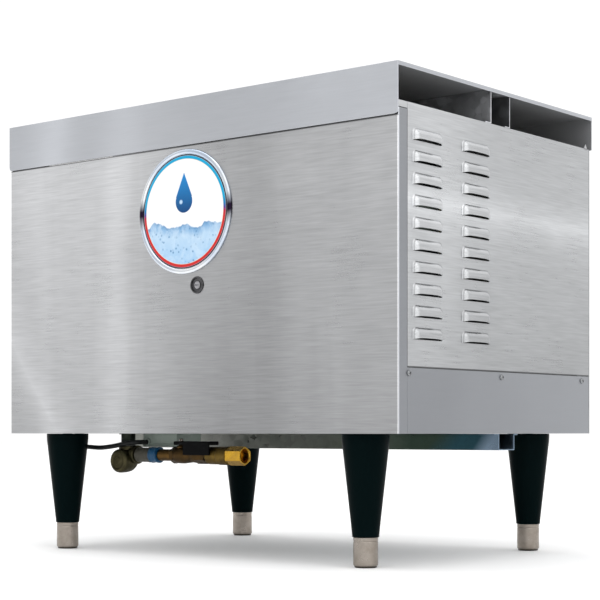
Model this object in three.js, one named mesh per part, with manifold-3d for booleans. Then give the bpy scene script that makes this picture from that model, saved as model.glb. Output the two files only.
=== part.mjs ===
// Under-counter electric tank water heater: a sheet-steel cabinet on four legs, with its tank, controls and pipework.
// Millimetres. Origin at floor level under the middle of the cabinet, +Z up, the front faces -Y.
import * as THREE from "three";
import { mergeVertices } from "three/addons/utils/BufferGeometryUtils.js";
import { ConvexGeometry } from "three/addons/geometries/ConvexGeometry.js";
import Module from "manifold-3d";

const wasm = await Module();
wasm.setup();

// ---- Driving dimensions ----
const SHEET = 1.5;
const GAP = 0.3;

// Cabinet
const HALF_W = 335.5;
const FRONT_Y = -223;
const BASE_Z = 160;
const SIDE_TOP_Z = 545.5;
const REAR_Y = 220.7;
const REAR_SHEET = 2;
const BAND_TOP_Z = 237;
const STRIP_BACK_Y = -204.5;
const STRIP_TOP_Z = 537;

// Lid
const LID_HALF_W = 337;
const LID_HALF_D = 225;
const TOP_Z = 590;
const SKIRT_Z = 529;
const SKIRT_CORNER_R = 5;
const REAR_SKIRT_Z = 545;
const END_LIP = 5;
const PANEL_TOP_Z = SKIRT_Z - 0.6;

// Channel under the lid
const CHANNEL_Y0 = -25.4;
const CHANNEL_Y1 = 19.4;

// Louvers
const LOUVER_COUNT = 10;
const LOUVER_PITCH = 25.86;
const LOUVER_SLOT_Z = 503;
const LOUVER_TALL = 14.3;
const LOUVER_HALF_L = 30;
const LOUVER_OUT = 5.5;
const LOUVER_WALL = 1.2;
const LOUVER_COLUMNS_Y = [-163.7, -60.15];

// Badge and latch
const BADGE_Z = 444;
const BADGE_R = 80;
const LATCH_X = 21;
const LATCH_Z = 349;

// Legs and feet
const LEG_X = 260.5;
const LEG_Y = 185;
const LEG_TOP_R = 28.8;
const LEG_LOW_R = 16.2;
const FOOT_R = 15;
const FOOT_TALL = 36;
const STUD_R = 6;

// Tank, lying along X
const TANK_Y = 35;
const TANK_Z = 350;
const TANK_R = 150;
const TANK_WALL = 2.5;
const JACKET_R = 172;
const JACKET_IN_R = 153;

// Pipework below the cabinet
const PIPE_Y = -135;
const PIPE_Z = 130.5;
const RISER_X = -191;
const BORE_R = 6.5;

// Control plate
const PLATE_Y = -130;

// ---- Helpers: three.js shapes as solids, joined and cut ----

// One closed shape as a solid, its faces turned outwards.
function solid(geometry) {
  const flat = geometry.index ? geometry.toNonIndexed() : geometry.clone();
  for (const key of Object.keys(flat.attributes)) {
    if (key !== "position") flat.deleteAttribute(key);
  }
  const merged = mergeVertices(flat, 1e-4);
  const p = merged.attributes.position.array;
  const index = merged.index.array;
  const kept = [];
  let volume = 0;
  const a = new THREE.Vector3();
  const b = new THREE.Vector3();
  const c = new THREE.Vector3();
  for (let i = 0; i < index.length; i += 3) {
    const [u, v, w] = [index[i], index[i + 1], index[i + 2]];
    if (u === v || v === w || w === u) continue;
    kept.push(u, v, w);
    a.fromArray(p, 3 * u);
    b.fromArray(p, 3 * v);
    c.fromArray(p, 3 * w);
    volume += a.dot(b.cross(c));
  }
  if (volume < 0) kept.reverse();
  const mesh = new wasm.Mesh({
    numProp: 3,
    vertProperties: new Float32Array(p),
    triVerts: new Uint32Array(kept),
  });
  return new wasm.Manifold(mesh);
}

function join(first, ...rest) {
  return rest.reduce((sum, s) => sum.add(s), first);
}

function cut(first, ...rest) {
  return rest.reduce((left, s) => left.subtract(s), first);
}

function box(x0, x1, y0, y1, z0, z1) {
  const g = new THREE.BoxGeometry(x1 - x0, y1 - y0, z1 - z0);
  g.translate((x0 + x1) / 2, (y0 + y1) / 2, (z0 + z1) / 2);
  return solid(g);
}

// Turns a shape made about +Z so that +Z lies along the axis named, and moves it to a place.
function place(g, axis, x, y, z) {
  if (axis === "x") g.rotateY(Math.PI / 2);
  if (axis === "y") g.rotateX(-Math.PI / 2);
  g.translate(x, y, z);
  return g;
}

// A shape turned about its own axis, from a closed loop of [radius, distance along the axis].
function lathe(loop, axis, x, y, z, sides = 20) {
  const points = [...loop, loop[0]].map(([r, s]) => new THREE.Vector2(r, s));
  const g = new THREE.LatheGeometry(points, sides);
  g.rotateX(Math.PI / 2);
  return solid(place(g, axis, x, y, z));
}

// A round bar from one distance along its axis to another.
function bar(r, s0, s1, axis, x, y, z, sides = 16) {
  return lathe([[0, s0], [r, s0], [r, s1], [0, s1]], axis, x, y, z, sides);
}

// A round bar with an open bore.
function pipe(r, bore, s0, s1, axis, x, y, z, sides = 16) {
  return lathe([[bore, s0], [r, s0], [r, s1], [bore, s1]], axis, x, y, z, sides);
}

// A flat outline pushed along an axis: "x" takes [y, z] points, "y" takes [x, z] points, "z" takes [x, y] points.
function prism(outline, axis, from, to) {
  const s = new THREE.Shape(outline.map(([u, v]) => new THREE.Vector2(u, v)));
  const g = new THREE.ExtrudeGeometry(s, { depth: to - from, bevelEnabled: false });
  const m = new THREE.Matrix4();
  if (axis === "x") m.set(0, 0, 1, from, 1, 0, 0, 0, 0, 1, 0, 0, 0, 0, 0, 1);
  if (axis === "y") m.set(1, 0, 0, 0, 0, 0, 1, from, 0, 1, 0, 0, 0, 0, 0, 1);
  if (axis === "z") m.makeTranslation(0, 0, from);
  g.applyMatrix4(m);
  return solid(g);
}

function hexOutline(acrossFlats, u, v) {
  const r = acrossFlats / 2 / Math.cos(Math.PI / 6);
  return [0, 1, 2, 3, 4, 5].map((i) => {
    const t = (i * Math.PI) / 3 + Math.PI / 6;
    return [u + r * Math.cos(t), v + r * Math.sin(t)];
  });
}

// A line through corner points with rounded bends, whose stations are exactly its own points.
class Route extends THREE.Curve {
  constructor(corners, radius, steps) {
    super();
    const c = corners.map((p) => new THREE.Vector3(...p));
    this.stations = [c[0]];
    for (let i = 1; i < c.length - 1; i++) {
      const into = c[i].clone().sub(c[i - 1]).normalize();
      const out = c[i + 1].clone().sub(c[i]).normalize();
      const half = into.angleTo(out) / 2;
      const back = radius * Math.tan(half);
      const start = c[i].clone().addScaledVector(into, -back);
      const end = c[i].clone().addScaledVector(out, back);
      const inward = out.clone().sub(into).normalize();
      const centre = c[i].clone().addScaledVector(inward, radius / Math.cos(half));
      for (let k = 0; k <= steps; k++) {
        const t = k / steps;
        const w = Math.sin(2 * half) || 1;
        const f0 = Math.sin((1 - t) * 2 * half) / w;
        const f1 = Math.sin(t * 2 * half) / w;
        const arm0 = start.clone().sub(centre);
        const arm1 = end.clone().sub(centre);
        const arm = arm0.multiplyScalar(f0).add(arm1.multiplyScalar(f1));
        if (Math.abs(Math.sin(2 * half)) < 1e-6) arm.setLength(radius);
        this.stations.push(centre.clone().add(arm));
      }
    }
    this.stations.push(c[c.length - 1]);
  }
  getPoint(t) {
    const n = this.stations.length - 1;
    const i = Math.min(n - 1, Math.floor(t * n + 1e-9));
    return this.stations[i].clone().lerp(this.stations[i + 1], t * n - i);
  }
  getPointAt(t) {
    return this.getPoint(t);
  }
  getSpacedPoints(n) {
    return Array.from({ length: n + 1 }, (_, i) => this.getPoint(i / n));
  }
  getTangent(t) {
    const n = this.stations.length - 1;
    const i = Math.round(t * n);
    const before = this.stations[Math.max(0, i - 1)];
    const after = this.stations[Math.min(n, i + 1)];
    return after.clone().sub(before).normalize();
  }
  getTangentAt(t) {
    return this.getTangent(t);
  }
}

// A round tube's outside along corner points with rounded bends.
function bent(corners, r, radius, steps = 5, sides = 12) {
  const route = new Route(corners, radius, steps);
  const ring = [];
  for (let i = 0; i < sides; i++) {
    const t = (i / sides) * 2 * Math.PI;
    ring.push(new THREE.Vector2(r * Math.cos(t), r * Math.sin(t)));
  }
  const g = new THREE.ExtrudeGeometry(new THREE.Shape(ring), {
    steps: route.stations.length - 1,
    bevelEnabled: false,
    extrudePath: route,
  });
  return solid(g);
}

const group = new THREE.Group();

// Adds one finished solid as a named mesh with its own material.
function piece(name, shape, [color, roughness, metalness], mirrored = false) {
  const m = shape.getMesh();
  const n = m.numProp;
  const v = new Float32Array((m.vertProperties.length / n) * 3);
  for (let i = 0; i < v.length / 3; i++) v.set(m.vertProperties.subarray(i * n, i * n + 3), i * 3);
  const indexed = new THREE.BufferGeometry();
  indexed.setAttribute("position", new THREE.BufferAttribute(v, 3));
  indexed.setIndex(new THREE.BufferAttribute(new Uint32Array(m.triVerts), 1));
  const g = indexed.toNonIndexed();
  g.computeVertexNormals();
  const mesh = new THREE.Mesh(g, new THREE.MeshStandardMaterial({ color, roughness, metalness }));
  mesh.name = name;
  if (mirrored) mesh.scale.x = -1;
  group.add(mesh);
}

const STAINLESS = [0xb9bcbf, 0.34, 1.0];
const GALVANISED = [0x9da2a6, 0.5, 0.9];
const TANK_STEEL = [0x8f9396, 0.4, 0.95];
const BLACK_PLASTIC = [0x101416, 0.45, 0.0];
const NICKEL = [0xa39a8c, 0.35, 1.0];
const CHROME = [0xd8dadc, 0.12, 1.0];
const BRASS = [0xb98f3c, 0.3, 1.0];
const BRONZE = [0x6b5a45, 0.45, 0.9];
const COPPER = [0x9a5b3a, 0.35, 1.0];
const BLUE_PLASTIC = [0x1d6fb0, 0.4, 0.0];
const GREY_PLASTIC = [0x8b918f, 0.5, 0.0];
const DARK_GREY = [0x2a2d30, 0.5, 0.0];
const FOAM = [0xd9cf9f, 0.9, 0.0];
const RUBBER = [0x0d0e0f, 0.6, 0.0];
const RED_PLASTIC = [0xb3201c, 0.4, 0.0];
const INK = [0xe9f2f7, 0.3, 0.0];
const INCOLOY = [0x4a4644, 0.5, 0.8];

// ---- Bottom pan, with a weld nut over each leg ----
{
  const x = HALF_W - SHEET - GAP;
  const [y0, y1] = [STRIP_BACK_Y + GAP, 218.4];
  const lip = 195;
  let pan = join(
    box(-x, x, y0, y1, BASE_Z, BASE_Z + SHEET),
    box(-x, x, y0, y0 + SHEET, BASE_Z, lip),
    box(-x, x, y1 - SHEET, y1, BASE_Z, lip),
    box(-x, -x + SHEET, y0, y1, BASE_Z, lip),
    box(x - SHEET, x, y0, y1, BASE_Z, lip),
  );
  for (const sx of [-1, 1]) {
    for (const sy of [-1, 1]) {
      const [cx, cy] = [sx * LEG_X, sy * LEG_Y];
      pan = join(pan, prism(hexOutline(20, cx, cy), "z", BASE_Z + 0.5, 170));
      pan = cut(pan, bar(STUD_R + GAP, BASE_Z - 1, 171, "z", cx, cy, 0, 12));
    }
  }
  pan = cut(pan, bar(12, 150, 170, "z", RISER_X, PIPE_Y, 0, 16));
  pan = cut(pan, bar(7, 150, 170, "z", -285, -140, 0, 16));
  piece("base_pan", pan, GALVANISED);
}

// ---- Front corner posts: the narrow strips seen on the ends ----
{
  const outline = [
    [HALF_W, -221.5],
    [HALF_W, STRIP_BACK_Y],
    [308, STRIP_BACK_Y],
    [308, STRIP_BACK_Y - SHEET],
    [HALF_W - SHEET, STRIP_BACK_Y - SHEET],
    [HALF_W - SHEET, -221.5],
  ];
  const post = prism(outline, "z", BASE_Z, STRIP_TOP_Z);
  piece("post_front_right", post, STAINLESS);
  piece("post_front_left", post, STAINLESS, true);
}

// ---- Louvered end panels ----
function louver(yc, slotZ) {
  const point = (x, dy, z) => new THREE.Vector3(x, yc + dy, z);
  const hull = (x0, x1, half, inset, z0, z1, zFace) =>
    solid(
      new ConvexGeometry([
        point(x0, -half, z0),
        point(x0, half, z0),
        point(x0, -half, z1),
        point(x0, half, z1),
        point(x1, -half + inset, z0),
        point(x1, half - inset, z0),
        point(x1, -half + inset, zFace),
        point(x1, half - inset, zFace),
      ]),
    );
  const outer = hull(
    HALF_W - 0.4, HALF_W + LOUVER_OUT, LOUVER_HALF_L, 5, slotZ, slotZ + LOUVER_TALL, slotZ + 8.5,
  );
  const inner = hull(
    HALF_W - SHEET - 0.4,
    HALF_W + LOUVER_OUT - LOUVER_WALL,
    LOUVER_HALF_L - 1.6,
    5,
    slotZ - 0.8,
    slotZ + LOUVER_TALL - 2,
    slotZ + 6.8,
  );
  return [outer, inner];
}
{
  const [y0, y1] = [STRIP_BACK_Y + 0.5, 218.3];
  let panel = join(
    box(HALF_W - SHEET, HALF_W, y0, y1, BAND_TOP_Z + 0.8, SIDE_TOP_Z),
    box(HALF_W - SHEET, HALF_W, -222.6, y0 + 1, STRIP_TOP_Z + 0.8, SIDE_TOP_Z),
    box(332.2, HALF_W, y0 + 1, 188, BAND_TOP_Z + 0.8, BAND_TOP_Z + 0.8 + SHEET),
    box(332.2, 332.2 + SHEET, y0 + 1, 188, 216, BAND_TOP_Z + 0.8 + SHEET),
    prism([[205, SIDE_TOP_Z - 1], [215, SIDE_TOP_Z - 1], [210.5, 552]], "x", HALF_W - SHEET, HALF_W),
  );
  const hoods = [];
  const hollows = [];
  for (const yc of LOUVER_COLUMNS_Y) {
    for (let i = 0; i < LOUVER_COUNT; i++) {
      const [outer, inner] = louver(yc, LOUVER_SLOT_Z - i * LOUVER_PITCH);
      hoods.push(outer);
      hollows.push(inner);
    }
  }
  panel = cut(join(panel, ...hoods), ...hollows);
  piece("louver_panel_right", panel, STAINLESS);
  piece("louver_panel_left", panel, STAINLESS, true);
}

// ---- Plain lower bands of the ends ----
{
  const band = box(HALF_W - SHEET, HALF_W, STRIP_BACK_Y + 0.5, 218.3, BASE_Z, BAND_TOP_Z);
  piece("band_right", band, STAINLESS);
  piece("band_left", band, STAINLESS, true);
}

// ---- Rear panel, with forward returns and openings for the outlet and the discharge tube ----
const OUTLET_X = -250;
const OUTLET_Z = 440;
const RELIEF_X = -100;
const RELIEF_OUT_Z = 532;
{
  const x = HALF_W - SHEET - GAP;
  const y0 = REAR_Y - REAR_SHEET;
  let rear = join(
    box(-HALF_W, HALF_W, y0, REAR_Y, BASE_Z, REAR_SKIRT_Z),
    box(-x, -x + SHEET, 190, REAR_Y - 0.5, 196, REAR_SKIRT_Z),
    box(x - SHEET, x, 190, REAR_Y - 0.5, 196, REAR_SKIRT_Z),
  );
  rear = cut(
    rear,
    bar(11, 210, 230, "y", OUTLET_X, 0, OUTLET_Z, 16),
    bar(9, 210, 230, "y", RELIEF_X, 0, RELIEF_OUT_Z, 16),
  );
  piece("rear_panel", rear, GALVANISED);
}

// ---- Lid: a cap with a deep front skirt, a shorter rear one and open ends ----
{
  const [w, d] = [LID_HALF_W, LID_HALF_D];
  const rounding = (side) => {
    const points = [[side * (w + 1), SKIRT_Z - 1], [side * (w + 1), SKIRT_Z + SKIRT_CORNER_R]];
    for (let k = 0; k <= 3; k++) {
      const t = (k * Math.PI) / 6;
      const x = w - SKIRT_CORNER_R * (1 - Math.cos(t));
      points.push([side * x, SKIRT_Z + SKIRT_CORNER_R * (1 - Math.sin(t))]);
    }
    points.push([side * (w - SKIRT_CORNER_R), SKIRT_Z - 1]);
    return prism(points, "y", -d - 1, -d + 4);
  };
  const lid = cut(
    box(-w, w, -d, d, SKIRT_Z, TOP_Z),
    box(-w - 1, w + 1, -d + SHEET, d - SHEET, SKIRT_Z - 1, TOP_Z - END_LIP),
    box(-w + SHEET, w - SHEET, -d + SHEET, d - SHEET, SKIRT_Z - 1, TOP_Z - SHEET),
    box(-w - 1, w + 1, d - 5, d + 1, SKIRT_Z - 1, REAR_SKIRT_Z),
    rounding(-1),
    rounding(1),
  );
  piece("lid", lid, STAINLESS);
}

// ---- Channel that the lid rests on, its feet bent forwards onto the ends ----
{
  const [z0, z1] = [SIDE_TOP_Z + GAP, TOP_Z - SHEET - GAP];
  const outline = [
    [CHANNEL_Y0 - 12, z0],
    [CHANNEL_Y0 + SHEET, z0],
    [CHANNEL_Y0 + SHEET, z1 - SHEET],
    [CHANNEL_Y1 - SHEET, z1 - SHEET],
    [CHANNEL_Y1 - SHEET, z0 + SHEET],
    [CHANNEL_Y1 - 12, z0 + SHEET],
    [CHANNEL_Y1 - 12, z0],
    [CHANNEL_Y1, z0],
    [CHANNEL_Y1, z1],
    [CHANNEL_Y0, z1],
    [CHANNEL_Y0, z0 + SHEET],
    [CHANNEL_Y0 - 12, z0 + SHEET],
  ];
  let channel = prism(outline, "x", -HALF_W + 0.4, HALF_W - 0.4);
  channel = cut(channel, box(150, 185, CHANNEL_Y0 - 13, CHANNEL_Y0 + 3, z0 - 1, z0 + 12));
  piece("lid_channel", channel, GALVANISED);
}

// ---- Front panel: a shallow tray that pulls straight out ----
{
  const [yf, yb] = [FRONT_Y, FRONT_Y + 1.2];
  const x = HALF_W - SHEET - 1.3;
  let front = join(
    box(-HALF_W, HALF_W, yf, yb, BASE_Z, PANEL_TOP_Z),
    box(-x, -x + 1.2, yf + 0.5, -208, BASE_Z, PANEL_TOP_Z),
    box(x - 1.2, x, yf + 0.5, -208, BASE_Z, PANEL_TOP_Z),
    box(-x, x, yf + 0.5, -208, BASE_Z, BASE_Z + 1.2),
    box(-x, x, yf + 0.5, -208, PANEL_TOP_Z - 1.2, PANEL_TOP_Z),
  );
  front = cut(front, bar(8.9, -230, -215, "y", LATCH_X, 0, LATCH_Z, 18));
  piece("front_panel", front, STAINLESS);
}

// ---- Round badge: a bright ring round a plain printed face ----
{
  const back = FRONT_Y - GAP;
  const ring = [
    [73, back],
    [BADGE_R, back],
    [BADGE_R, back - 1.4],
    [BADGE_R - 2, back - 2.9],
    [74, back - 2.9],
  ];
  piece("badge_bezel", lathe(ring, "y", 0, 0, BADGE_Z, 36), CHROME);
  piece("badge_face", bar(72.6, back - 1.8, back, "y", 0, 0, BADGE_Z, 36), INK);
}

// ---- Quarter-turn latch and the upright that its cam turns behind ----
{
  const back = FRONT_Y - GAP;
  const housing = [
    [5.3, -205],
    [8.5, -205],
    [8.5, back],
    [11, back],
    [11, back - 1],
    [10, back - 1.7],
    [7, back - 1.7],
    [5.3, back + 1],
  ];
  piece("latch_housing", lathe(housing, "y", LATCH_X, 0, LATCH_Z, 18), CHROME);
  const plug = join(
    bar(5, back + 0.6, -202, "y", LATCH_X, 0, LATCH_Z, 14),
    prism(
      [
        [LATCH_X - 6, LATCH_Z + 6],
        [LATCH_X - 6, LATCH_Z - 24],
        [LATCH_X - 3, LATCH_Z - 27],
        [LATCH_X + 3, LATCH_Z - 27],
        [LATCH_X + 6, LATCH_Z - 24],
        [LATCH_X + 6, LATCH_Z + 6],
      ],
      "y", -203, -200.5,
    ),
  );
  const slot = box(LATCH_X - 4, LATCH_X + 4, back - 1, back + 2.6, LATCH_Z - 0.9, LATCH_Z + 0.9);
  piece("latch_rotor", cut(plug, slot), NICKEL);
  const upright = cut(
    box(36, 64, STRIP_BACK_Y - SHEET - GAP, STRIP_BACK_Y - GAP, 163, 372),
    box(46, 54, -210, -200, 300, 320),
  );
  piece("latch_keeper", upright, GALVANISED);
}

// ---- Hat-section rail under the bottom ----
{
  const [z0, z1] = [139, BASE_Z - GAP];
  const outline = [
    [-14, z1 - SHEET],
    [-4, z1 - SHEET],
    [-4, z0],
    [33, z0],
    [33, z1 - SHEET],
    [41, z1 - SHEET],
    [41, z1],
    [33 - SHEET, z1],
    [33 - SHEET, z0 + SHEET],
    [-4 + SHEET, z0 + SHEET],
    [-4 + SHEET, z1],
    [-14, z1],
  ];
  piece("under_rail", prism(outline, "x", -333, 333), GALVANISED);
}

// ---- Four tapered legs, each with a screw-in foot ----
{
  const legTop = BASE_Z - GAP;
  const legLow = FOOT_TALL + GAP;
  const legLoop = [
    [0, 100],
    [STUD_R + GAP, 100],
    [STUD_R + GAP, legLow],
    [LEG_LOW_R, legLow],
    [LEG_TOP_R, legTop - 6],
    [LEG_TOP_R, legTop],
    [STUD_R, legTop],
    [STUD_R, legTop + 20],
    [0, legTop + 20],
  ];
  const footLoop = [
    [0, 0],
    [FOOT_R - 1.2, 0],
    [FOOT_R, 1.2],
    [FOOT_R, FOOT_TALL],
    [STUD_R, FOOT_TALL],
    [STUD_R, 85],
    [0, 85],
  ];
  const corners = { front_right: [1, -1], front_left: [-1, -1], rear_right: [1, 1], rear_left: [-1, 1] };
  for (const [name, [sx, sy]] of Object.entries(corners)) {
    const [x, y] = [sx * LEG_X, sy * LEG_Y];
    piece("leg_" + name, lathe(legLoop, "z", x, y, 0, 24), BLACK_PLASTIC);
    piece("foot_" + name, lathe(footLoop, "z", x, y, 0, 20), NICKEL);
  }
}

// ---- Tank: a domed shell with a necked opening at its right end, inside a foam jacket ----
const RISER_TOP_Z = 240;
{
  const t = TANK_WALL;
  const shellLoop = [
    [0, -303],
    [75, -300],
    [125, -291],
    [TANK_R, -273],
    [TANK_R, 125],
    [140, 135],
    [60, 139],
    [60, 158],
    [78, 158],
    [78, 166],
    [50, 166],
    [50, 136.5],
    [138, 132.5],
    [TANK_R - t, 124],
    [TANK_R - t, -272],
    [123.5, -288.7],
    [74.5, -297.5],
    [0, -300.5],
  ];
  let shell = lathe(shellLoop, "x", 0, TANK_Y, TANK_Z, 18);
  shell = cut(
    shell,
    bar(7, 100, 170, "z", RELIEF_X, TANK_Y, TANK_Z, 10),
    bar(7, -140, 0, "y", RISER_X, TANK_Y - 60, RISER_TOP_Z, 10),
    bar(7, 0, 200, "y", OUTLET_X, TANK_Y, OUTLET_Z, 10),
  );
  piece("tank_shell", shell, TANK_STEEL);

  const jacketLoop = [
    [0, -325],
    [JACKET_R, -325],
    [JACKET_R, 154],
    [62, 154],
    [62, 143],
    [JACKET_IN_R, 143],
    [JACKET_IN_R, -304.5],
    [0, -304.5],
  ];
  let jacket = lathe(jacketLoop, "x", 0, TANK_Y, TANK_Z, 18);
  jacket = cut(
    jacket,
    bar(14, 100, 190, "z", RELIEF_X, TANK_Y, TANK_Z, 12),
    bar(13, -200, -40, "y", RISER_X, TANK_Y, RISER_TOP_Z, 12),
    bar(13, 60, 200, "y", OUTLET_X, TANK_Y, OUTLET_Z, 12),
  );
  piece("tank_jacket", jacket, FOAM);
}

// ---- Saddles that carry the tank on the pan ----
for (const [name, x] of [["saddle_left", -240], ["saddle_right", 90]]) {
  const foot = BASE_Z + SHEET + GAP;
  let saddle = join(
    prism([[-110, foot], [180, foot], [180, 265], [-110, 265]], "x", x, x + 2),
    box(x, x + 25, -110, 180, foot, foot + 2),
  );
  saddle = cut(saddle, bar(JACKET_R + 0.5, x - 5, x + 30, "x", 0, TANK_Y, TANK_Z, 36));
  piece(name, saddle, GALVANISED);
}

// ---- Element flange, gasket and three hairpin heating elements ----
const ELEMENT_R = 30;
const ELEMENT_ANGLES = [90, 210, 330];
const HAIRPIN_HALF = 11;
{
  const at = (deg, tangent) => {
    const t = (deg * Math.PI) / 180;
    const y = TANK_Y + ELEMENT_R * Math.cos(t) - tangent * Math.sin(t);
    const z = TANK_Z + ELEMENT_R * Math.sin(t) + tangent * Math.cos(t);
    return [y, z];
  };
  piece("element_gasket", pipe(78, 50, 166.3, 168.3, "x", 0, TANK_Y, TANK_Z, 24), RUBBER);
  let flange = bar(78, 168.6, 176.6, "x", 0, TANK_Y, TANK_Z, 24);
  for (let i = 0; i < 6; i++) {
    const t = (i * Math.PI) / 3;
    const [y, z] = [TANK_Y + 64 * Math.cos(t), TANK_Z + 64 * Math.sin(t)];
    flange = join(flange, prism(hexOutline(13, y, z), "x", 176, 182));
  }
  ELEMENT_ANGLES.forEach((deg, i) => {
    const [y0, z0] = at(deg, -HAIRPIN_HALF);
    const [y1, z1] = at(deg, HAIRPIN_HALF);
    flange = cut(
      flange,
      bar(4.6, 160, 190, "x", 0, y0, z0, 8),
      bar(4.6, 160, 190, "x", 0, y1, z1, 8),
    );
    const ends = [[204, y0, z0], [-230, y0, z0], [-230, y1, z1], [204, y1, z1]];
    piece("heating_element_" + (i + 1), bent(ends, 4, 9, 3, 8), INCOLOY);
  });
  piece("element_flange", flange, TANK_STEEL);
}

// ---- Control plate and what is fixed to it ----
{
  const foot = BASE_Z + SHEET + GAP;
  let plate = join(
    box(205, 328, PLATE_Y, PLATE_Y + SHEET, foot, 515),
    box(205, 328, PLATE_Y, PLATE_Y + 25, foot, foot + SHEET),
  );
  plate = cut(plate, bar(14, PLATE_Y - 5, PLATE_Y + 5, "y", 236, 0, 260, 16));
  piece("control_plate", plate, GALVANISED);

  const face = PLATE_Y - GAP;
  // Terminal block with raised ribs between its ways
  let block = box(212, 320, face - 18, face, 470, 502);
  for (let i = 0; i < 6; i++) {
    block = join(block, box(212 + i * 21.2, 214 + i * 21.2, face - 27, face - 17, 470, 502));
  }
  piece("terminal_block", block, DARK_GREY);

  // Contactor with a stepped front and a small sprung plunger
  let contactor = join(
    box(212, 262, face - 45, face, 372, 452),
    box(220, 254, face - 68, face - 44, 384, 440),
  );
  contactor = cut(contactor, box(231.5, 242.5, face - 70, face - 48, 408, 416));
  piece("contactor", contactor, DARK_GREY);
  piece("contactor_plunger", box(232, 242, face - 70.5, face - 54, 408.5, 415.5), GREY_PLASTIC);

  // Thermostat with a turning knob on a short stem
  const thermostat = join(
    box(276, 322, face - 34, face, 390, 448),
    bar(3, face - 46, face - 33, "y", 299, 0, 419, 12),
  );
  piece("thermostat", thermostat, GREY_PLASTIC);
  let knob = bar(16, face - 50, face - 34.5, "y", 299, 0, 419, 24);
  knob = cut(knob, bar(3.3, face - 46.5, face - 30, "y", 299, 0, 419, 12));
  knob = join(knob, box(297.5, 300.5, face - 52, face - 49, 420, 434));
  piece("thermostat_knob", knob, BLACK_PLASTIC);

  // High limit with a manual reset button
  const limit = cut(
    join(
      box(276, 322, face - 20, face, 300, 340),
      bar(9, face - 28, face - 19, "y", 299, 0, 320, 20),
    ),
    bar(4.5, face - 30, face - 14, "y", 299, 0, 320, 16),
  );
  piece("high_limit", limit, DARK_GREY);
  piece("reset_button", bar(4.1, face - 31, face - 18, "y", 299, 0, 320, 16), RED_PLASTIC);
}

// ---- Pipework, from the tank down and across to the open union nut ----
{
  const riserEnd = -77.5;
  const top = [[RISER_X, PIPE_Y, 143], [RISER_X, PIPE_Y, RISER_TOP_Z], [RISER_X, riserEnd, RISER_TOP_Z]];
  const bore = [[RISER_X, PIPE_Y, 142], [RISER_X, PIPE_Y, RISER_TOP_Z], [RISER_X, riserEnd + 1, RISER_TOP_Z]];
  piece("inlet_riser", cut(bent(top, 10, 20, 4, 14), bent(bore, BORE_R, 20, 4, 8)), BRONZE);

  let tee = join(
    bar(12.5, 124, 142.7, "z", RISER_X, PIPE_Y, 0, 20),
    bar(12.2, -5, 20, "x", RISER_X, PIPE_Y, PIPE_Z, 20),
    lathe(
      [[0, -22], [12, -22], [16, -18], [16.5, -2], [13, 7], [0, 11]],
      "y", RISER_X, PIPE_Y, 122, 18,
    ),
  );
  tee = cut(
    tee,
    bar(BORE_R, 122, 150, "z", RISER_X, PIPE_Y, 0, 12),
    bar(BORE_R, 0, 30, "x", RISER_X, PIPE_Y, PIPE_Z, 12),
  );
  piece("inlet_tee", tee, BRONZE);

  const run = (name, r, x0, x1, look) =>
    piece(name, pipe(r, BORE_R, x0, x1, "x", 0, PIPE_Y, PIPE_Z, 16), look);
  run("inlet_coupling", 10.5, -170.7, -144.2, GREY_PLASTIC);
  run("inlet_collar", 11, -143.9, -129.2, BLUE_PLASTIC);
  run("copper_tube", 8, -128.9, -104.3, COPPER);
}

// ---- Ball valve with a black lever, then the brass body and its union nut ----
const STEM_X = -90;
{
  let valve = join(
    prism(hexOutline(20, PIPE_Y, PIPE_Z), "x", -104, -97),
    bar(11.2, -98, -58, "x", 0, PIPE_Y, PIPE_Z, 16),
    prism(hexOutline(20, PIPE_Y, PIPE_Z), "x", -59, -40.3),
    bar(3, PIPE_Z, 153, "z", STEM_X, PIPE_Y, 0, 12),
  );
  valve = cut(valve, bar(BORE_R, -110, -30, "x", 0, PIPE_Y, PIPE_Z, 12));
  piece("valve_body", valve, BRONZE);

  let lever = join(
    prism(
      [
        [STEM_X - 8, -142],
        [STEM_X + 14, -149.5],
        [-28, -149.5],
        [-26, -147],
        [-26, -130],
        [-28, -128],
        [STEM_X - 6, -127],
        [STEM_X - 8, -129],
      ],
      "z", 144.5, 149.5,
    ),
    box(STEM_X + 16, -26.5, -149.5, -147, 131, 149),
  );
  lever = cut(lever, bar(3.3, 140, 155, "z", STEM_X, PIPE_Y, 0, 12));
  piece("valve_lever", lever, BLACK_PLASTIC);

  const body = lathe(
    [
      [BORE_R, -40],
      [10, -40],
      [11.7, -37],
      [11.7, -20],
      [12.4, -18],
      [12.4, -1.3],
      [BORE_R, -1.3],
    ],
    "x", 0, PIPE_Y, PIPE_Z, 18,
  );
  piece("brass_body", body, BRASS);
  const nut = cut(
    prism(hexOutline(22, PIPE_Y, PIPE_Z), "x", -1, 25),
    bar(BORE_R, -5, 12, "x", 0, PIPE_Y, PIPE_Z, 16),
    bar(9, 11, 30, "x", 0, PIPE_Y, PIPE_Z, 16),
  );
  piece("union_nut", nut, BRASS);
}

// ---- Hot outlet through the rear panel ----
{
  const out = LID_HALF_D + 1.2;
  const nipple = cut(
    join(
      bar(10, 162.5, 206, "y", OUTLET_X, 0, OUTLET_Z, 16),
      prism(hexOutline(30, OUTLET_X, OUTLET_Z), "y", 205, REAR_Y - REAR_SHEET - GAP),
      bar(10.6, 215, out, "y", OUTLET_X, 0, OUTLET_Z, 16),
    ),
    bar(BORE_R, 186, 240, "y", OUTLET_X, 0, OUTLET_Z, 16),
  );
  piece("outlet_nipple", nipple, BRASS);
}

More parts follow.
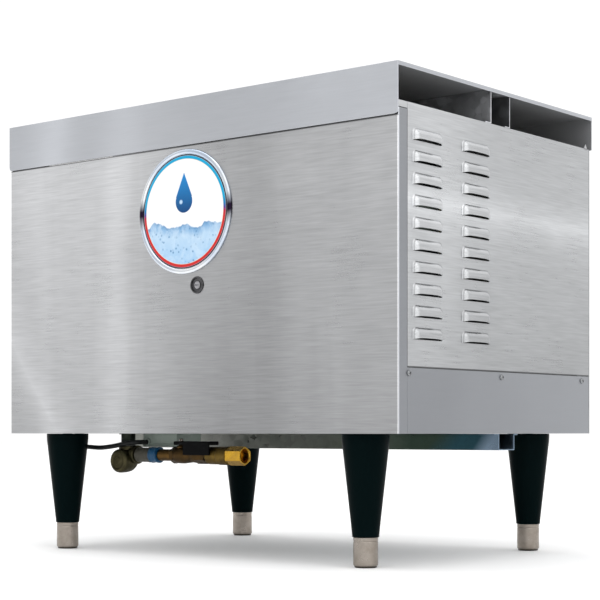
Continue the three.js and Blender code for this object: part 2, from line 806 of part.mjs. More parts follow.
// ---- Relief valve on the tank, its lever, and its discharge tube through the rear panel ----
{
  const pinZ = 555;
  let valve = join(
    bar(11, TANK_Z + TANK_R + GAP, 540, "z", RELIEF_X, TANK_Y, 0, 16),
    bar(8, 539, 549, "z", RELIEF_X, TANK_Y, 0, 16),
    bar(9.5, 0, 27, "y", RELIEF_X, TANK_Y, RELIEF_OUT_Z, 16),
    box(RELIEF_X - 4, RELIEF_X + 4, TANK_Y - 1.5, TANK_Y + 1.5, 548, 559),
    bar(1.8, -7, 7, "y", RELIEF_X, TANK_Y, pinZ, 12),
  );
  valve = cut(
    valve,
    bar(6, TANK_Z + TANK_R - 5, RELIEF_OUT_Z, "z", RELIEF_X, TANK_Y, 0, 12),
    bar(6, 0, 30, "y", RELIEF_X, TANK_Y, RELIEF_OUT_Z, 12),
  );
  piece("relief_valve", valve, BRASS);
  const cheek = (y0, y1) => box(RELIEF_X - 5, RELIEF_X + 12, y0, y1, pinZ - 4, pinZ + 4);
  const lever = cut(
    join(
      cheek(TANK_Y - 5, TANK_Y - 2),
      cheek(TANK_Y + 2, TANK_Y + 5),
      box(RELIEF_X + 8, RELIEF_X + 42, TANK_Y - 5, TANK_Y + 5, pinZ - 1, pinZ + 1.5),
    ),
    bar(2, -10, 10, "y", RELIEF_X, TANK_Y, pinZ, 12),
  );
  piece("relief_lever", lever, NICKEL);
  piece(
    "relief_pipe",
    pipe(8, 6, TANK_Y + 27.3, LID_HALF_D + 1.2, "y", RELIEF_X, 0, RELIEF_OUT_Z, 16),
    COPPER,
  );
}

// ---- Cable, from a gland in the pan to the small box above the pipes ----
{
  const [gx, gy] = [-285, -140];
  const gland = cut(
    join(
      prism(hexOutline(17, gx, gy), "z", 152, BASE_Z - GAP),
      bar(6.4, BASE_Z - 1, 168, "z", gx, gy, 0, 16),
      bar(6.8, 150.5, 153, "z", gx, gy, 0, 16),
    ),
    bar(3.6, 140, 175, "z", gx, gy, 0, 12),
  );
  piece("cable_gland", gland, BLACK_PLASTIC);
  const [bx, by, bz] = [-163, -125, 148];
  const route = [
    [gx, gy, 174],
    [gx, gy, 143.5],
    [-268, -148, 142],
    [-229, -152.5, 140],
    [-196, -152.5, 143.2],
    [-176, -151.5, 146.6],
    [bx, -141, bz],
    [bx, by + 8, bz],
  ];
  piece("cable", bent(route, 3.2, 7, 2, 8), RUBBER);

  const hollow = cut(
    box(-173, -108, by, -75, 141.6, BASE_Z - GAP),
    box(-171, -110, by + 2, -77, 143.6, BASE_Z + 1),
    bar(3.5, by - 5, by + 5, "y", bx, 0, bz, 12),
  );
  piece("junction_box", hollow, GREY_PLASTIC);
}

export default group;
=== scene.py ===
import bmesh
import bpy
import math
import random
from mathutils import Matrix, Vector


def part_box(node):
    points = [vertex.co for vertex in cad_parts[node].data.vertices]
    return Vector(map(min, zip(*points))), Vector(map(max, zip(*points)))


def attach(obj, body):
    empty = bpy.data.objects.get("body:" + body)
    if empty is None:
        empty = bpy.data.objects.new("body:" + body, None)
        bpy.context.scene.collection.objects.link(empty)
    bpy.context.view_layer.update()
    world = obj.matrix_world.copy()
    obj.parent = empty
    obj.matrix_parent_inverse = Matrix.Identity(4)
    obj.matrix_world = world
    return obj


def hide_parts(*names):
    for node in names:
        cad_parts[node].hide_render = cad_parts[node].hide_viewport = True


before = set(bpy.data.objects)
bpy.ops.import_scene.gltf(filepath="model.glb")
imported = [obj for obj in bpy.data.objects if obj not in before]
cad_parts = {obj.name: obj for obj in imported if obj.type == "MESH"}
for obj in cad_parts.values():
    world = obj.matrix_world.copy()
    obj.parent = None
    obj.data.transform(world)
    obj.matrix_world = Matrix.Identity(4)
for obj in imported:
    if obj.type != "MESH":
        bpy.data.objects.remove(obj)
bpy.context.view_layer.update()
BOX = {name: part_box(name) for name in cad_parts}
# The shapes below are given in mm, and this turns them to metres
MM = 0.001

# ---- camera
CAMERA_PLACE = (1.4468, -1.7607, 0.1628)
CAMERA_YAW = math.radians(39.26)
CAMERA_LENS = 98.75
HORIZON_SHIFT = 0.2190

camera_data = bpy.data.cameras.new("camera")
camera_data.lens = CAMERA_LENS
camera_data.sensor_width = 36.0
camera_data.shift_y = HORIZON_SHIFT
camera = bpy.data.objects.new("camera", camera_data)
camera.location = CAMERA_PLACE
camera.rotation_euler = (math.pi / 2, 0.0, CAMERA_YAW)
bpy.context.scene.collection.objects.link(camera)
bpy.context.scene.camera = camera


# ---- materials
class Nodes:
    """A node tree and short ways to add nodes to it. place: the coordinates its textures follow."""

    def __init__(self, tree, coordinates):
        self.tree = tree
        self.place = self.add("ShaderNodeTexCoord").outputs[coordinates]

    def set(self, node, key, value):
        if isinstance(value, bpy.types.NodeSocket):
            self.tree.links.new(value, node.inputs[key])
        else:
            node.inputs[key].default_value = value

    def add(self, kind, inputs=None, **attributes):
        node = self.tree.nodes.new(kind)
        for key, value in attributes.items():
            setattr(node, key, value)
        for key, value in (inputs or {}).items():
            self.set(node, key, value)
        return node

    def math(self, operation, a, b=0.0, clamp=False):
        return self.add("ShaderNodeMath", {0: a, 1: b}, operation=operation, use_clamp=clamp).outputs[0]

    def times(self, a, b):
        return self.math("MULTIPLY", a, b)

    def plus(self, a, b):
        return self.math("ADD", a, b)

    def minus(self, a, b):
        return self.math("SUBTRACT", a, b)

    def size(self, a):
        return self.math("ABSOLUTE", a)

    def parts(self, source=None):
        """The X, Y and Z of a vector, or of the place if none is given."""
        return self.add("ShaderNodeSeparateXYZ", {"Vector": source or self.place}).outputs

    def moved(self, scale=(1, 1, 1), offset=(0, 0, 0)):
        node = self.add("ShaderNodeMapping", {"Vector": self.place})
        node.inputs["Scale"].default_value = scale
        node.inputs["Location"].default_value = offset
        return node.outputs[0]

    def noise(self, scale, vector=None, detail=2.0, rough=0.5, distortion=0.0):
        inputs = {"Vector": vector or self.place, "Scale": scale, "Detail": detail}
        inputs.update({"Roughness": rough, "Distortion": distortion})
        return self.add("ShaderNodeTexNoise", inputs).outputs["Fac"]

    def wander(self, scale, amount):
        """A soft noise about zero."""
        return self.times(self.minus(self.noise(scale), 0.5), amount)

    def ramp(self, value, stops, smoothing="LINEAR"):
        node = self.add("ShaderNodeValToRGB", {"Fac": value})
        node.color_ramp.interpolation = smoothing
        points = node.color_ramp.elements
        while len(points) < len(stops):
            points.new(0.5)
        for point, (at, color) in zip(points, stops):
            point.position = at
            point.color = (*color, 1.0)
        return node.outputs["Color"]

    def span(self, value, low, high, to_low=0.0, to_high=1.0):
        """Carries a value from between low and high to another pair, and holds it there."""
        inputs = {"Value": value, "From Min": low, "From Max": high, "To Min": to_low, "To Max": to_high}
        return self.add("ShaderNodeMapRange", inputs).outputs["Result"]

    def mix(self, factor, a, b, blend="MIX"):
        node = self.add("ShaderNodeMix", data_type="RGBA", blend_type=blend)
        for key, value in ((0, factor), (6, a), (7, b)):
            if isinstance(value, tuple) and len(value) == 3:
                value = (*value, 1.0)
            self.set(node, key, value)
        return node.outputs[2]

    def shaded(self, tone, shade):
        """A colour made lighter or darker by one grey value."""
        grey = self.add("ShaderNodeCombineColor", {"Red": shade, "Green": shade, "Blue": shade})
        return self.mix(1.0, tone, grey.outputs[0], "MULTIPLY")

    def grey(self, color):
        return self.add("ShaderNodeSeparateColor", {"Color": color}).outputs[0]


class Shader(Nodes):
    """A node material with a Principled surface."""

    def __init__(self, name, color, rough, metal=0.0, **sockets):
        self.mat = bpy.data.materials.new(name)
        self.mat.use_nodes = True
        super().__init__(self.mat.node_tree, "Object")
        self.surface = self.tree.nodes["Principled BSDF"]
        self.color((*color, 1.0))
        self.rough(rough)
        self.set(self.surface, "Metallic", metal)
        for key, value in sockets.items():
            self.set(self.surface, key.replace("_", " "), value)

    def color(self, value):
        self.set(self.surface, "Base Color", value)

    def rough(self, value):
        self.set(self.surface, "Roughness", value)

    def bump(self, *layers):
        """layers of (height, strength, distance in metres), laid one on the other."""
        normal = None
        for height, strength, distance in layers:
            node = self.add("ShaderNodeBump", {"Height": height, "Strength": strength, "Distance": distance})
            if normal is not None:
                self.set(node, "Normal", normal)
            normal = node.outputs["Normal"]
        self.set(self.surface, "Normal", normal)


def squeezed(others, chosen, axis):
    """Noise scales for the three axes, with one of them unlike the others."""
    scale = [others] * 3
    scale[axis] = chosen
    return scale


# How far from the middle of a sheet a profile of painted reflections reaches
PROFILE_HALF = 0.34


def painted_upright_reflections(s, x, profile):
    """Painted soft upright reflections across a sheet: profile is (x, shade) stops."""
    along = s.span(s.plus(x, s.wander(5.0, 0.05)), -PROFILE_HALF, PROFILE_HALF)
    stops = [((at + PROFILE_HALF) / (2 * PROFILE_HALF), (shade / 2,) * 3) for at, shade in profile]
    return s.times(s.grey(s.ramp(along, stops, "B_SPLINE")), 2.0)


def painted_highlight_streak(s, part, grain, painted_streak, pressed):
    """One painted highlight streak that runs with the grain, half as strong on what was pressed out."""
    height, slope, width, strength = painted_streak
    line = s.plus(s.times(part[grain], slope), height)
    off = s.plus(s.minus(part[2], line), s.wander(7.0, 0.02))
    near = s.span(s.size(off), 0.0, width, 1.0, 0.0)
    if pressed is not None:
        near = s.times(near, s.span(s.size(part[0]), pressed + 0.0005, pressed + 0.002, 1.0, 0.5))
    return s.plus(s.times(s.math("POWER", near, 2.0), strength), 1.0)


def brushed(
    name, tone, grain, rough=0.3, streak=0.06, cloud=0.05, painted_bands=0.0,
    pressed=None, profile=None, marks=(), painted_streak=None,
):
    """Brushed stainless whose grain runs along axis 0 or 1 of the object.

    painted_bands: how strongly painted soft upright reflection stripes show. pressed: the plane beyond which
    the sheet was pressed out and has lost its grain; past it the sheet is painted a little lighter, with a
    painted shade line at the root.
    profile: (x, shade) stops of the painted soft reflections across it. marks: (axis, from, to, shade, shade)
    of painted highlights on bends, painted shadow lines at seams, painted shade towards the bottom of a sheet
    and painted light across
    part of it. painted_streak: (height, slope, width, strength) of one painted highlight streak, whose height
    changes along the grain.
    """
    s = Shader(name, tone, rough, 1.0, Anisotropic=0.72)
    upward = s.add("ShaderNodeCombineXYZ", {"X": 0.0, "Y": 0.02, "Z": 1.0})
    s.set(s.surface, "Tangent", upward.outputs[0])
    part = s.parts()
    fine = s.noise(1.0, s.moved(squeezed(560.0, 26.0, grain)), 1.0, 0.5)
    coarse = s.noise(1.0, s.moved(squeezed(240.0, 11.0, grain), (3.1, 1.7, 5.2)), 2.0, 0.5)
    clouds = s.noise(3.4, s.moved((1, 1, 0.8)), 2.0, 0.5, 0.6)
    smudge = s.noise(14.0, s.moved((1, 1, 0.7), (7, 3, 1)), 3.0, 0.6)
    lines = s.plus(s.times(fine, 0.62), s.times(coarse, 0.38))
    shade = s.span(lines, 0.3, 0.7, 1.0 - streak, 1.0 + streak)
    shade = s.times(shade, s.span(clouds, 0.3, 0.7, 1.0 - cloud, 1.0 + cloud))
    # Painted soft upright reflection stripes.
    if painted_bands:
        upright = s.noise(1.0, s.moved((11.0, 11.0, 0.9), (0.35, 0, 0)), 3.0, 0.55, 0.5)
        shade = s.times(shade, s.span(upright, 0.32, 0.68, 1.0 - painted_bands, 1.0 + painted_bands))
    # Painted soft reflections across the sheet.
    if profile:
        shade = s.times(shade, painted_upright_reflections(s, part[0], profile))
    # Painted highlights, painted shadow lines and painted shade along the sheet.
    for axis, start, stop, first, last in marks:
        at = s.size(part[0]) if axis == 0 else part[axis]
        shade = s.times(shade, s.span(at, start, stop, first, last))
    # One painted highlight streak.
    if painted_streak:
        shade = s.times(shade, painted_highlight_streak(s, part, grain, painted_streak, pressed))
    gloss = s.span(lines, 0.3, 0.7, rough - 0.02, rough + 0.03)
    gloss = s.math("ADD", gloss, s.span(smudge, 0.35, 0.7, -0.03, 0.04), clamp=True)
    # Pressed-out louvers are painted a little lighter and made glossier, with a thin painted shade line round
    # their root.
    if pressed is not None:
        side = s.size(part[0])
        out = s.span(side, pressed + 0.0009, pressed + 0.0035)
        shade = s.times(shade, s.span(out, 0.0, 1.0, 1.0, 1.02))
        inner = s.span(side, pressed + 0.0005, pressed + 0.001)
        outer = s.span(side, pressed + 0.0018, pressed + 0.0026, 0.34, 0.0)
        shade = s.times(shade, s.minus(1.0, s.times(inner, outer)))
        gloss = s.times(gloss, s.span(out, 0.0, 1.0, 1.0, 0.72))
    s.color(s.shaded(tone, shade))
    s.rough(gloss)
    s.bump((clouds, 0.12, 0.0012))
    return s.mat


def galvanised(name, tone, rough=0.42, ends=None):
    """Plain zinc-coated sheet with its soft spangle and handling marks. ends: the painted reflection tones
    its left end, and the last two parts of its right end, turn to."""
    s = Shader(name, tone, rough, 1.0)
    cells = s.add("ShaderNodeTexVoronoi", {"Vector": s.place, "Scale": 120.0, "Randomness": 1.0})
    grey = s.grey(cells.outputs["Color"])
    dirt = s.noise(16.0, None, 4.0, 0.6)
    shade = s.times(s.span(grey, 0.0, 1.0, 0.86, 1.1), s.span(dirt, 0.3, 0.7, 0.86, 1.08))
    # Painted reflections towards the two ends.
    if ends:
        left, near_right, right = ends
        x, _, z = s.parts()
        tone = s.mix(s.span(x, -0.12, 0.2), left, tone)
        slant = s.plus(s.minus(x, s.times(s.minus(z, 0.14), 0.9)), s.wander(9.0, 0.04))
        tone = s.mix(s.span(slant, 0.22, 0.26), tone, near_right)
        tone = s.mix(s.span(slant, 0.285, 0.31), tone, right)
    s.color(s.shaded(tone, shade))
    s.rough(s.plus(s.span(grey, 0, 1, rough - 0.08, rough + 0.08), s.span(dirt, 0.3, 0.7, -0.04, 0.06)))
    s.bump((s.noise(240.0, None, 2.0), 0.12, 0.0002), (dirt, 0.1, 0.0008))
    return s.mat


def moulded(name, color, rough=0.42, grain=900.0, dust=(0.2, 0.2, 0.2), wear=0.12, **sockets):
    """Moulded plastic: a fine texture, faint flow marks and a little dust."""
    s = Shader(name, color, rough, 0.0, **sockets)
    flow = s.noise(22.0, s.moved((1, 1, 0.35)), 4.0, 0.6, 0.4)
    specks = s.noise(240.0, None, 3.0, 0.7)
    dusty = s.times(s.span(specks, 0.55, 0.8, 0.0, wear), s.span(flow, 0.35, 0.7, 0.2, 1.0))
    s.color(s.mix(s.plus(dusty, s.span(flow, 0.3, 0.75, 0.0, wear * 0.5)), color, dust))
    s.rough(s.span(flow, 0.3, 0.7, rough - 0.07, rough + 0.1))
    s.bump((s.noise(grain, None, 2.0), 0.18, 0.00025), (flow, 0.12, 0.0008))
    return s.mat


def metal(name, color, stain, rough=0.3, scale=60.0, amount=0.5, lines=0.0, axis=0, cast=0.0, rim=None):
    """Machined or cast metal with tarnish, and turning lines along one axis; a painted near-black contact
    shadow below the height rim.
    """
    s = Shader(name, color, rough, 1.0)
    tarnish = s.noise(scale, None, 5.0, 0.62, 0.3)
    spots = s.noise(scale * 5.0, None, 3.0, 0.6)
    shade = s.mix(s.span(tarnish, 0.42, 0.68, 0.0, amount), color, stain)
    # A painted near-black contact shadow along the bottom, up to the height rim.
    if rim:
        shade = s.mix(s.span(s.parts()[2], rim * 0.6, rim, 0.85, 0.0), shade, (0.03, 0.028, 0.025))
    s.color(shade)
    gloss = s.span(tarnish, 0.3, 0.75, rough - 0.06, rough + 0.18)
    s.rough(s.plus(gloss, s.span(spots, 0.4, 0.7, -0.03, 0.05)))
    layers = [(spots, 0.15, 0.0003)]
    if lines:
        layers.append((s.noise(1.0, s.moved(squeezed(6.0, 1600.0, axis)), 2.0), lines, 0.0002))
    if cast:
        layers.append((s.noise(420.0, None, 3.0, 0.7), cast, 0.0006))
    s.bump(*layers)
    return s.mat


def wool(name, color):
    """Glass-wool blanket with a fibrous face."""
    s = Shader(name, color, 0.95, 0.0)
    s.set(s.surface, "Sheen Weight", 0.3)
    fibre = s.noise(160.0, s.moved((1, 3, 1)), 5.0, 0.75, 2.2)
    lump = s.noise(24.0, None, 3.0, 0.6)
    s.color(s.mix(s.span(fibre, 0.35, 0.7), tuple(c * 0.62 for c in color), color))
    s.bump((fibre, 0.6, 0.0015), (lump, 0.5, 0.006))
    return s.mat


# Brushed sheets
# Painted soft reflections across the front panel and across the lid, as (x, shade) stops.
FRONT_PAINTED_REFLECTIONS = [
    (-0.335, 1.02), (-0.27, 1.1), (-0.2, 1.16), (-0.15, 1.2), (-0.115, 1.3), (-0.085, 1.12), (-0.03, 0.9),
    (0.05, 0.76), (0.11, 0.7), (0.17, 0.81), (0.22, 0.89), (0.27, 0.93), (0.335, 0.92),
]
SKIRT_PAINTED_REFLECTIONS = [
    (-0.335, 0.94), (-0.29, 0.96), (-0.245, 1.25), (-0.205, 1.0), (-0.16, 1.0), (-0.115, 1.15), (-0.07, 0.97),
    (0.0, 0.98), (0.06, 0.95), (0.12, 0.95), (0.17, 1.0), (0.22, 1.09), (0.28, 1.13), (0.335, 1.08),
]
# Painted light on the sheets, as (axis, from, to, shade, shade): painted shade towards the bottom of each,
# painted shadow lines under the lid and along the louvered panel's lower edge, painted highlights on the
# front corner bends, and painted lighter parts of the end panels and posts.
FRONT_PAINTED_LIGHT = [
    (2, 0.16, 0.48, 0.73, 1.06), (2, 0.5266, 0.5276, 1.0, 0.3), (0, 0.3343, 0.3349, 1.0, 1.6),
]
END_PAINTED_LIGHT = [
    (1, -0.16, -0.03, 1.16, 0.98), (2, 0.235, 0.4, 0.74, 1.0), (2, 0.2386, 0.2394, 0.3, 1.0),
]
PLAIN_PAINTED_LIGHT = [
    (1, -0.12, 0.16, 1.0, 1.18), (2, 0.16, 0.5, 0.8, 1.0), (1, -0.2208, -0.2198, 1.9, 1.0),
]
BRUSHED_FRONT = brushed(
    "brushed_front", (0.508, 0.513, 0.524), 0, streak=0.1, painted_bands=0.06,
    profile=FRONT_PAINTED_REFLECTIONS, marks=FRONT_PAINTED_LIGHT, painted_streak=(-0.15, -1.31, 0.1, 0.26),
)
BRUSHED_LID = brushed(
    "brushed_lid", (0.485, 0.5, 0.53), 0, rough=0.32, streak=0.028, cloud=0.035, profile=SKIRT_PAINTED_REFLECTIONS,
)
BRUSHED_END = brushed(
    "brushed_end", (0.53, 0.54, 0.552), 1, streak=0.1, pressed=0.3355,
    marks=END_PAINTED_LIGHT, painted_streak=(0.434, 0.0, 0.045, 0.32),
)
PLAIN_END = brushed(
    "smooth_end", (0.33, 0.341, 0.363), 1, rough=0.36, streak=0.018, cloud=0.045, marks=PLAIN_PAINTED_LIGHT,
)

# Zinc-coated sheets
GALVANISED = galvanised("zinc_sheet", (0.42, 0.44, 0.45))
# The rail's near-black tone is painted shade, and the tones towards its ends are painted reflections.
RAIL_PAINTED_SHADE = galvanised(
    "zinc_rail_painted_shade", (0.028, 0.044, 0.033), 0.34,
    ends=[(0.23, 0.235, 0.215), (0.02, 0.055, 0.07), (0.19, 0.26, 0.34)],
)
# Lit and shaded copies of the lid channel's zinc: painted light on its outer faces, painted shade on the
# walls that face inward.
CHANNEL_PAINTED_LIT = galvanised("zinc_channel_painted_lit", (0.62, 0.63, 0.65), 0.5)
CHANNEL_PAINTED_SHADE = galvanised("zinc_channel_painted_shade", (0.19, 0.195, 0.203), 0.5)
REAR_ZINC = galvanised("zinc_rear", (0.33, 0.345, 0.355), 0.38)
# A near-black painted shadow line along the lid's lower rims.
LID_RIM_PAINTED_SHADOW = galvanised("lid_rim_painted_shadow", (0.022, 0.022, 0.024), 0.6)

# Solid metals
TANK_STEEL = metal("tank_steel", (0.45, 0.47, 0.49), (0.2, 0.19, 0.18), 0.36, 30.0, 0.5)
NICKEL = metal("foot_nickel", (0.32, 0.285, 0.25), (0.2, 0.17, 0.14), 0.3, 55.0, 0.6, 0.35, 2, rim=0.0026)
LATCH_NICKEL = metal("latch_nickel", (0.085, 0.085, 0.09), (0.04, 0.04, 0.04), 0.3, 90.0, 0.6, 0.2, 1)
LATCH_PLUG = metal("latch_plug", (0.42, 0.42, 0.44), (0.2, 0.2, 0.2), 0.25, 200.0, 0.6)
CHROME = metal("bright_chrome", (0.8, 0.82, 0.85), (0.6, 0.62, 0.66), 0.09, 40.0, 0.3)
SCREW_STEEL = metal("screw_steel", (0.27, 0.28, 0.29), (0.2, 0.2, 0.2), 0.24, 300.0, 0.7)
BRASS = metal("brass", (0.55, 0.32, 0.035), (0.33, 0.19, 0.05), 0.27, 90.0, 0.6, 0.12, 0)
# A darker copy of brass for the brass body under the cabinet: painted shade.
BRASS_PAINTED_SHADE = metal("brass_painted_shade", (0.14, 0.09, 0.022), (0.06, 0.04, 0.015), 0.4, 70.0, 0.8, cast=0.35)
VALVE_BRONZE = metal("valve_bronze", (0.07, 0.04, 0.014), (0.03, 0.022, 0.012), 0.4, 70.0, 0.8, cast=0.35)
RISER_PIPE = metal("dark_pipe", (0.03, 0.035, 0.028), (0.015, 0.02, 0.016), 0.45, 60.0, 0.8, cast=0.3)
BRONZE = metal("cast_bronze", (0.07, 0.062, 0.032), (0.03, 0.028, 0.018), 0.42, 60.0, 0.8, cast=0.5)
COPPER = metal("copper", (0.11, 0.06, 0.017), (0.05, 0.032, 0.014), 0.33, 80.0, 0.8)
SHEATH = metal("element_sheath", (0.16, 0.14, 0.13), (0.08, 0.06, 0.06), 0.5, 50.0, 0.8)

# Plastics, rubber and glass wool
# A duller, lighter stand-in for the lid's own steel on its inner faces: painted light.
LID_INSIDE_PAINTED_LIT = moulded("lid_inside_painted_lit", (0.26, 0.265, 0.275), 0.5, 500.0, (0.3, 0.3, 0.3), 0.1, Metallic=0.35)
LEG_PLASTIC = moulded(
    "leg_plastic", (0.0004, 0.0034, 0.0038), 0.34, 700.0, (0.01, 0.02, 0.021), 0.12, Specular_IOR_Level=0.018,
)
BLUE_PLASTIC = moulded(
    "blue_plastic", (0.003, 0.055, 0.13), 0.34, 500.0, (0.1, 0.15, 0.2), 0.12, Specular_IOR_Level=0.3,
)
GREY_PLASTIC = moulded("grey_plastic", (0.19, 0.235, 0.2), 0.45, 800.0, (0.5, 0.5, 0.48), 0.3)
FITTING_GREY = moulded(
    "fitting_grey", (0.04, 0.038, 0.028), 0.45, 500.0, (0.12, 0.11, 0.09), 0.5, Specular_IOR_Level=0.3,
)
DARK_PLASTIC = moulded(
    "dark_plastic", (0.012, 0.013, 0.014), 0.38, 800.0, (0.2, 0.2, 0.2), 0.1, Specular_IOR_Level=0.3,
)
GRIP = moulded(
    "black_grip", (0.002, 0.002, 0.0025), 0.45, 600.0, (0.02, 0.02, 0.02), 0.15, Specular_IOR_Level=0.05,
)
RED_PLASTIC = moulded("red_plastic", (0.5, 0.02, 0.015), 0.3, 700.0, (0.5, 0.3, 0.3), 0.1)
RUBBER = moulded(
    "cable_rubber", (0.004, 0.005, 0.005), 0.48, 900.0, (0.08, 0.08, 0.08), 0.18, Specular_IOR_Level=0.2,
)
WOOL = wool("glass_wool", (0.62, 0.55, 0.3))


# ---- mesh helpers
def corners(node):
    """A CAD node's lowest and highest corners in mm."""
    low, high = BOX[node]
    return low / MM, high / MM


def middle_and_half(node):
    """The middle of a CAD node's box and half its size, in mm."""
    low, high = corners(node)
    return (low + high) / 2, (high - low) / 2


def linked(name, data):
    """A new object in the scene."""
    ob = bpy.data.objects.new(name, data)
    bpy.context.scene.collection.objects.link(ob)
    return ob


def made(name, mesh, material, body, replaces=(), smooth=35.0):
    """Puts a finished mesh in the scene as a piece that rides on a body."""
    ob = linked(name, mesh)
    ob.modifiers.new("weighted_normals", "WEIGHTED_NORMAL").keep_sharp = True
    mesh.materials.clear()
    for each in material if isinstance(material, (list, tuple)) else [material]:
        mesh.materials.append(each)
    mesh.validate()
    mesh.shade_smooth()
    mesh.set_sharp_from_angle(angle=math.radians(smooth))
    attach(ob, body)
    if replaces:
        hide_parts(*replaces)
    return ob


def piece(node, mesh, material, smooth, body="cabinet"):
    """Shows a mesh in place of a CAD node."""
    made(node + "_shape", mesh, material, body, [node], smooth)


def from_bmesh(name, bm, outward=True):
    if outward:
        bmesh.ops.recalc_face_normals(bm, faces=bm.faces)
    mesh = bpy.data.meshes.new(name)
    bm.to_mesh(mesh)
    bm.free()
    return mesh


def applied(mesh, kind, **settings):
    """The mesh after one modifier."""
    ob = linked("working", mesh)
    modifier = ob.modifiers.new(kind.lower(), kind)
    for key, value in settings.items():
        setattr(modifier, key, value)
    bpy.context.view_layer.update()
    out = bpy.data.meshes.new_from_object(ob.evaluated_get(bpy.context.evaluated_depsgraph_get()))
    bpy.data.objects.remove(ob)
    return out


def bevelled(mesh, width, segments=2):
    """The mesh with its edges rounded, by a width in mm."""
    return applied(
        mesh, "BEVEL", width=width * MM, segments=segments, limit_method="ANGLE",
        angle_limit=math.radians(30.0), use_clamp_overlap=True, miter_outer="MITER_ARC",
    )


def round_edges(bm, edges, radius, segments):
    bmesh.ops.bevel(
        bm, geom=edges, offset=radius * MM, segments=segments, profile=0.5, affect="EDGES",
        clamp_overlap=True,
    )


def cad_mesh(node):
    """A CAD node's mesh with its flat faces whole again."""
    bm = bmesh.new()
    bm.from_mesh(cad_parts[node].data)
    bmesh.ops.remove_doubles(bm, verts=bm.verts, dist=2e-6)
    bmesh.ops.dissolve_limit(bm, angle_limit=math.radians(1.0), verts=bm.verts, edges=bm.edges)
    return from_bmesh(node, bm)


def bent_edges(mesh, *bends):
    """Rounds chosen edges: each bend is (low corner, high corner, radius) in mm, and takes the edges
    that lie wholly within that box."""
    for low, high, radius in bends:
        low, high = Vector(low) * MM, Vector(high) * MM
        bm = bmesh.new()
        bm.from_mesh(mesh)
        chosen = []
        for edge in bm.edges:
            held = all(low[k] <= v.co[k] <= high[k] for v in edge.verts for k in range(3))
            if held and edge.calc_face_angle(0.0) > 0.5:
                chosen.append(edge)
        round_edges(bm, chosen, radius, 5)
        mesh = from_bmesh("bent", bm)
    return mesh


def refined(node, material, width=0.4, segments=2, smooth=35.0, bends=(), body="cabinet"):
    """A CAD node shown again with its edges rounded."""
    mesh = bevelled(bent_edges(cad_mesh(node), *bends), width, segments)
    return made(node + "_shape", mesh, material, body, [node], smooth)


def bridge(bm, a, b):
    """Faces between two rings of vertices, either of which may be a single point."""
    for i in range(max(len(a), len(b))):
        around = [ring[k % len(ring)] for ring, k in ((a, i), (b, i), (b, i + 1), (a, i + 1))]
        if len(set(around)) > 2:
            bm.faces.new(list(dict.fromkeys(around)))


ONTO_AXIS = {
    "x": Matrix.Rotation(math.pi / 2, 4, "Y"),
    "y": Matrix.Rotation(-math.pi / 2, 4, "X"),
    "z": Matrix(),
}


def turned(loop, centre, axis, segments=72):
    """A turned shape from [radius, distance along the axis] in mm, about an axis through centre."""
    bm = bmesh.new()
    move = Matrix.Translation(Vector(centre) * MM) @ ONTO_AXIS[axis]
    rings = []
    for r, along in loop:
        turns = [2 * math.pi * i / segments for i in range(segments)] if r > 1e-6 else [0.0]
        places = [Vector((r * math.cos(t), r * math.sin(t), along)) * MM for t in turns]
        rings.append([bm.verts.new(move @ place) for place in places])
    pairs = list(zip(rings, rings[1:]))
    if len(rings[0]) > 1 and len(rings[-1]) > 1:
        pairs.append((rings[-1], rings[0]))
    for a, b in pairs:
        bridge(bm, a, b)
    return from_bmesh("turned", bm)


def rounded_loop(loop, radius, steps):
    """The same loop with its corners off the axis rounded."""
    points = [Vector(p) for p in loop]
    out = []
    last = len(points) - 1
    for i, p in enumerate(points):
        a, b = points[i - 1] - p, points[(i + 1) % len(points)] - p
        r = min(radius, a.length * 0.45, b.length * 0.45)
        on_axis = p.x < 1e-6 or i in (0, last) and points[0].x < 1e-6
        if on_axis or r < 0.02:
            out.append(tuple(p))
            continue
        a, b = a.normalized() * r, b.normalized() * r
        for k in range(steps + 1):
            t = k / steps
            out.append(tuple(p + a * (1 - t) ** 2 + b * t**2))
    return out


def lathe(loop, centre, axis, segments, radius=0.6, steps=3):
    """A turned shape whose outline has rounded corners."""
    return turned(rounded_loop(loop, radius, steps), centre, axis, segments)


def joined(*meshes):
    """Several meshes as one, without merging their surfaces."""
    bm = bmesh.new()
    for mesh in meshes:
        bm.from_mesh(mesh)
    return from_bmesh("joined", bm, False)


def mirrored(mesh):
    """The mesh on the other side of X = 0."""
    bm = bmesh.new()
    bm.from_mesh(mesh)
    for v in bm.verts:
        v.co.x = -v.co.x
    bmesh.ops.reverse_faces(bm, faces=bm.faces)
    return from_bmesh("mirrored", bm, False)


def block(low, high, radius=0.5, segments=2):
    """A box in mm with rounded edges."""
    bm = bmesh.new()
    bmesh.ops.create_cube(bm, size=1.0)
    low, high = Vector(low) * MM, Vector(high) * MM
    for v in bm.verts:
        v.co = Vector([low[k] + (v.co[k] + 0.5) * (high[k] - low[k]) for k in range(3)])
    if radius:
        round_edges(bm, list(bm.edges), radius, segments)
    return from_bmesh("block", bm)


def prism(outline, axis, low, high, radius=0.4, segments=2):
    """An outline in mm pushed along an axis: "x" takes (y, z), "y" takes (x, z), "z" takes (x, y)."""
    at = "xyz".index(axis)
    bm = bmesh.new()
    near, far = [
        [bm.verts.new(Vector((*point[:at], w, *point[at:])) * MM) for point in outline] for w in (low, high)
    ]
    bm.faces.new(near)
    bm.faces.new(list(reversed(far)))
    bridge(bm, near, far)
    mesh = from_bmesh("prism", bm)
    return bevelled(mesh, radius, segments) if radius else mesh


def hexagon(across, u, v):
    """The corners of a hexagon, by its width across flats."""
    r = across / 2 / math.cos(math.pi / 6)
    turns = [(k + 0.5) * math.pi / 3 for k in range(6)]
    return [(u + r * math.cos(t), v + r * math.sin(t)) for t in turns]


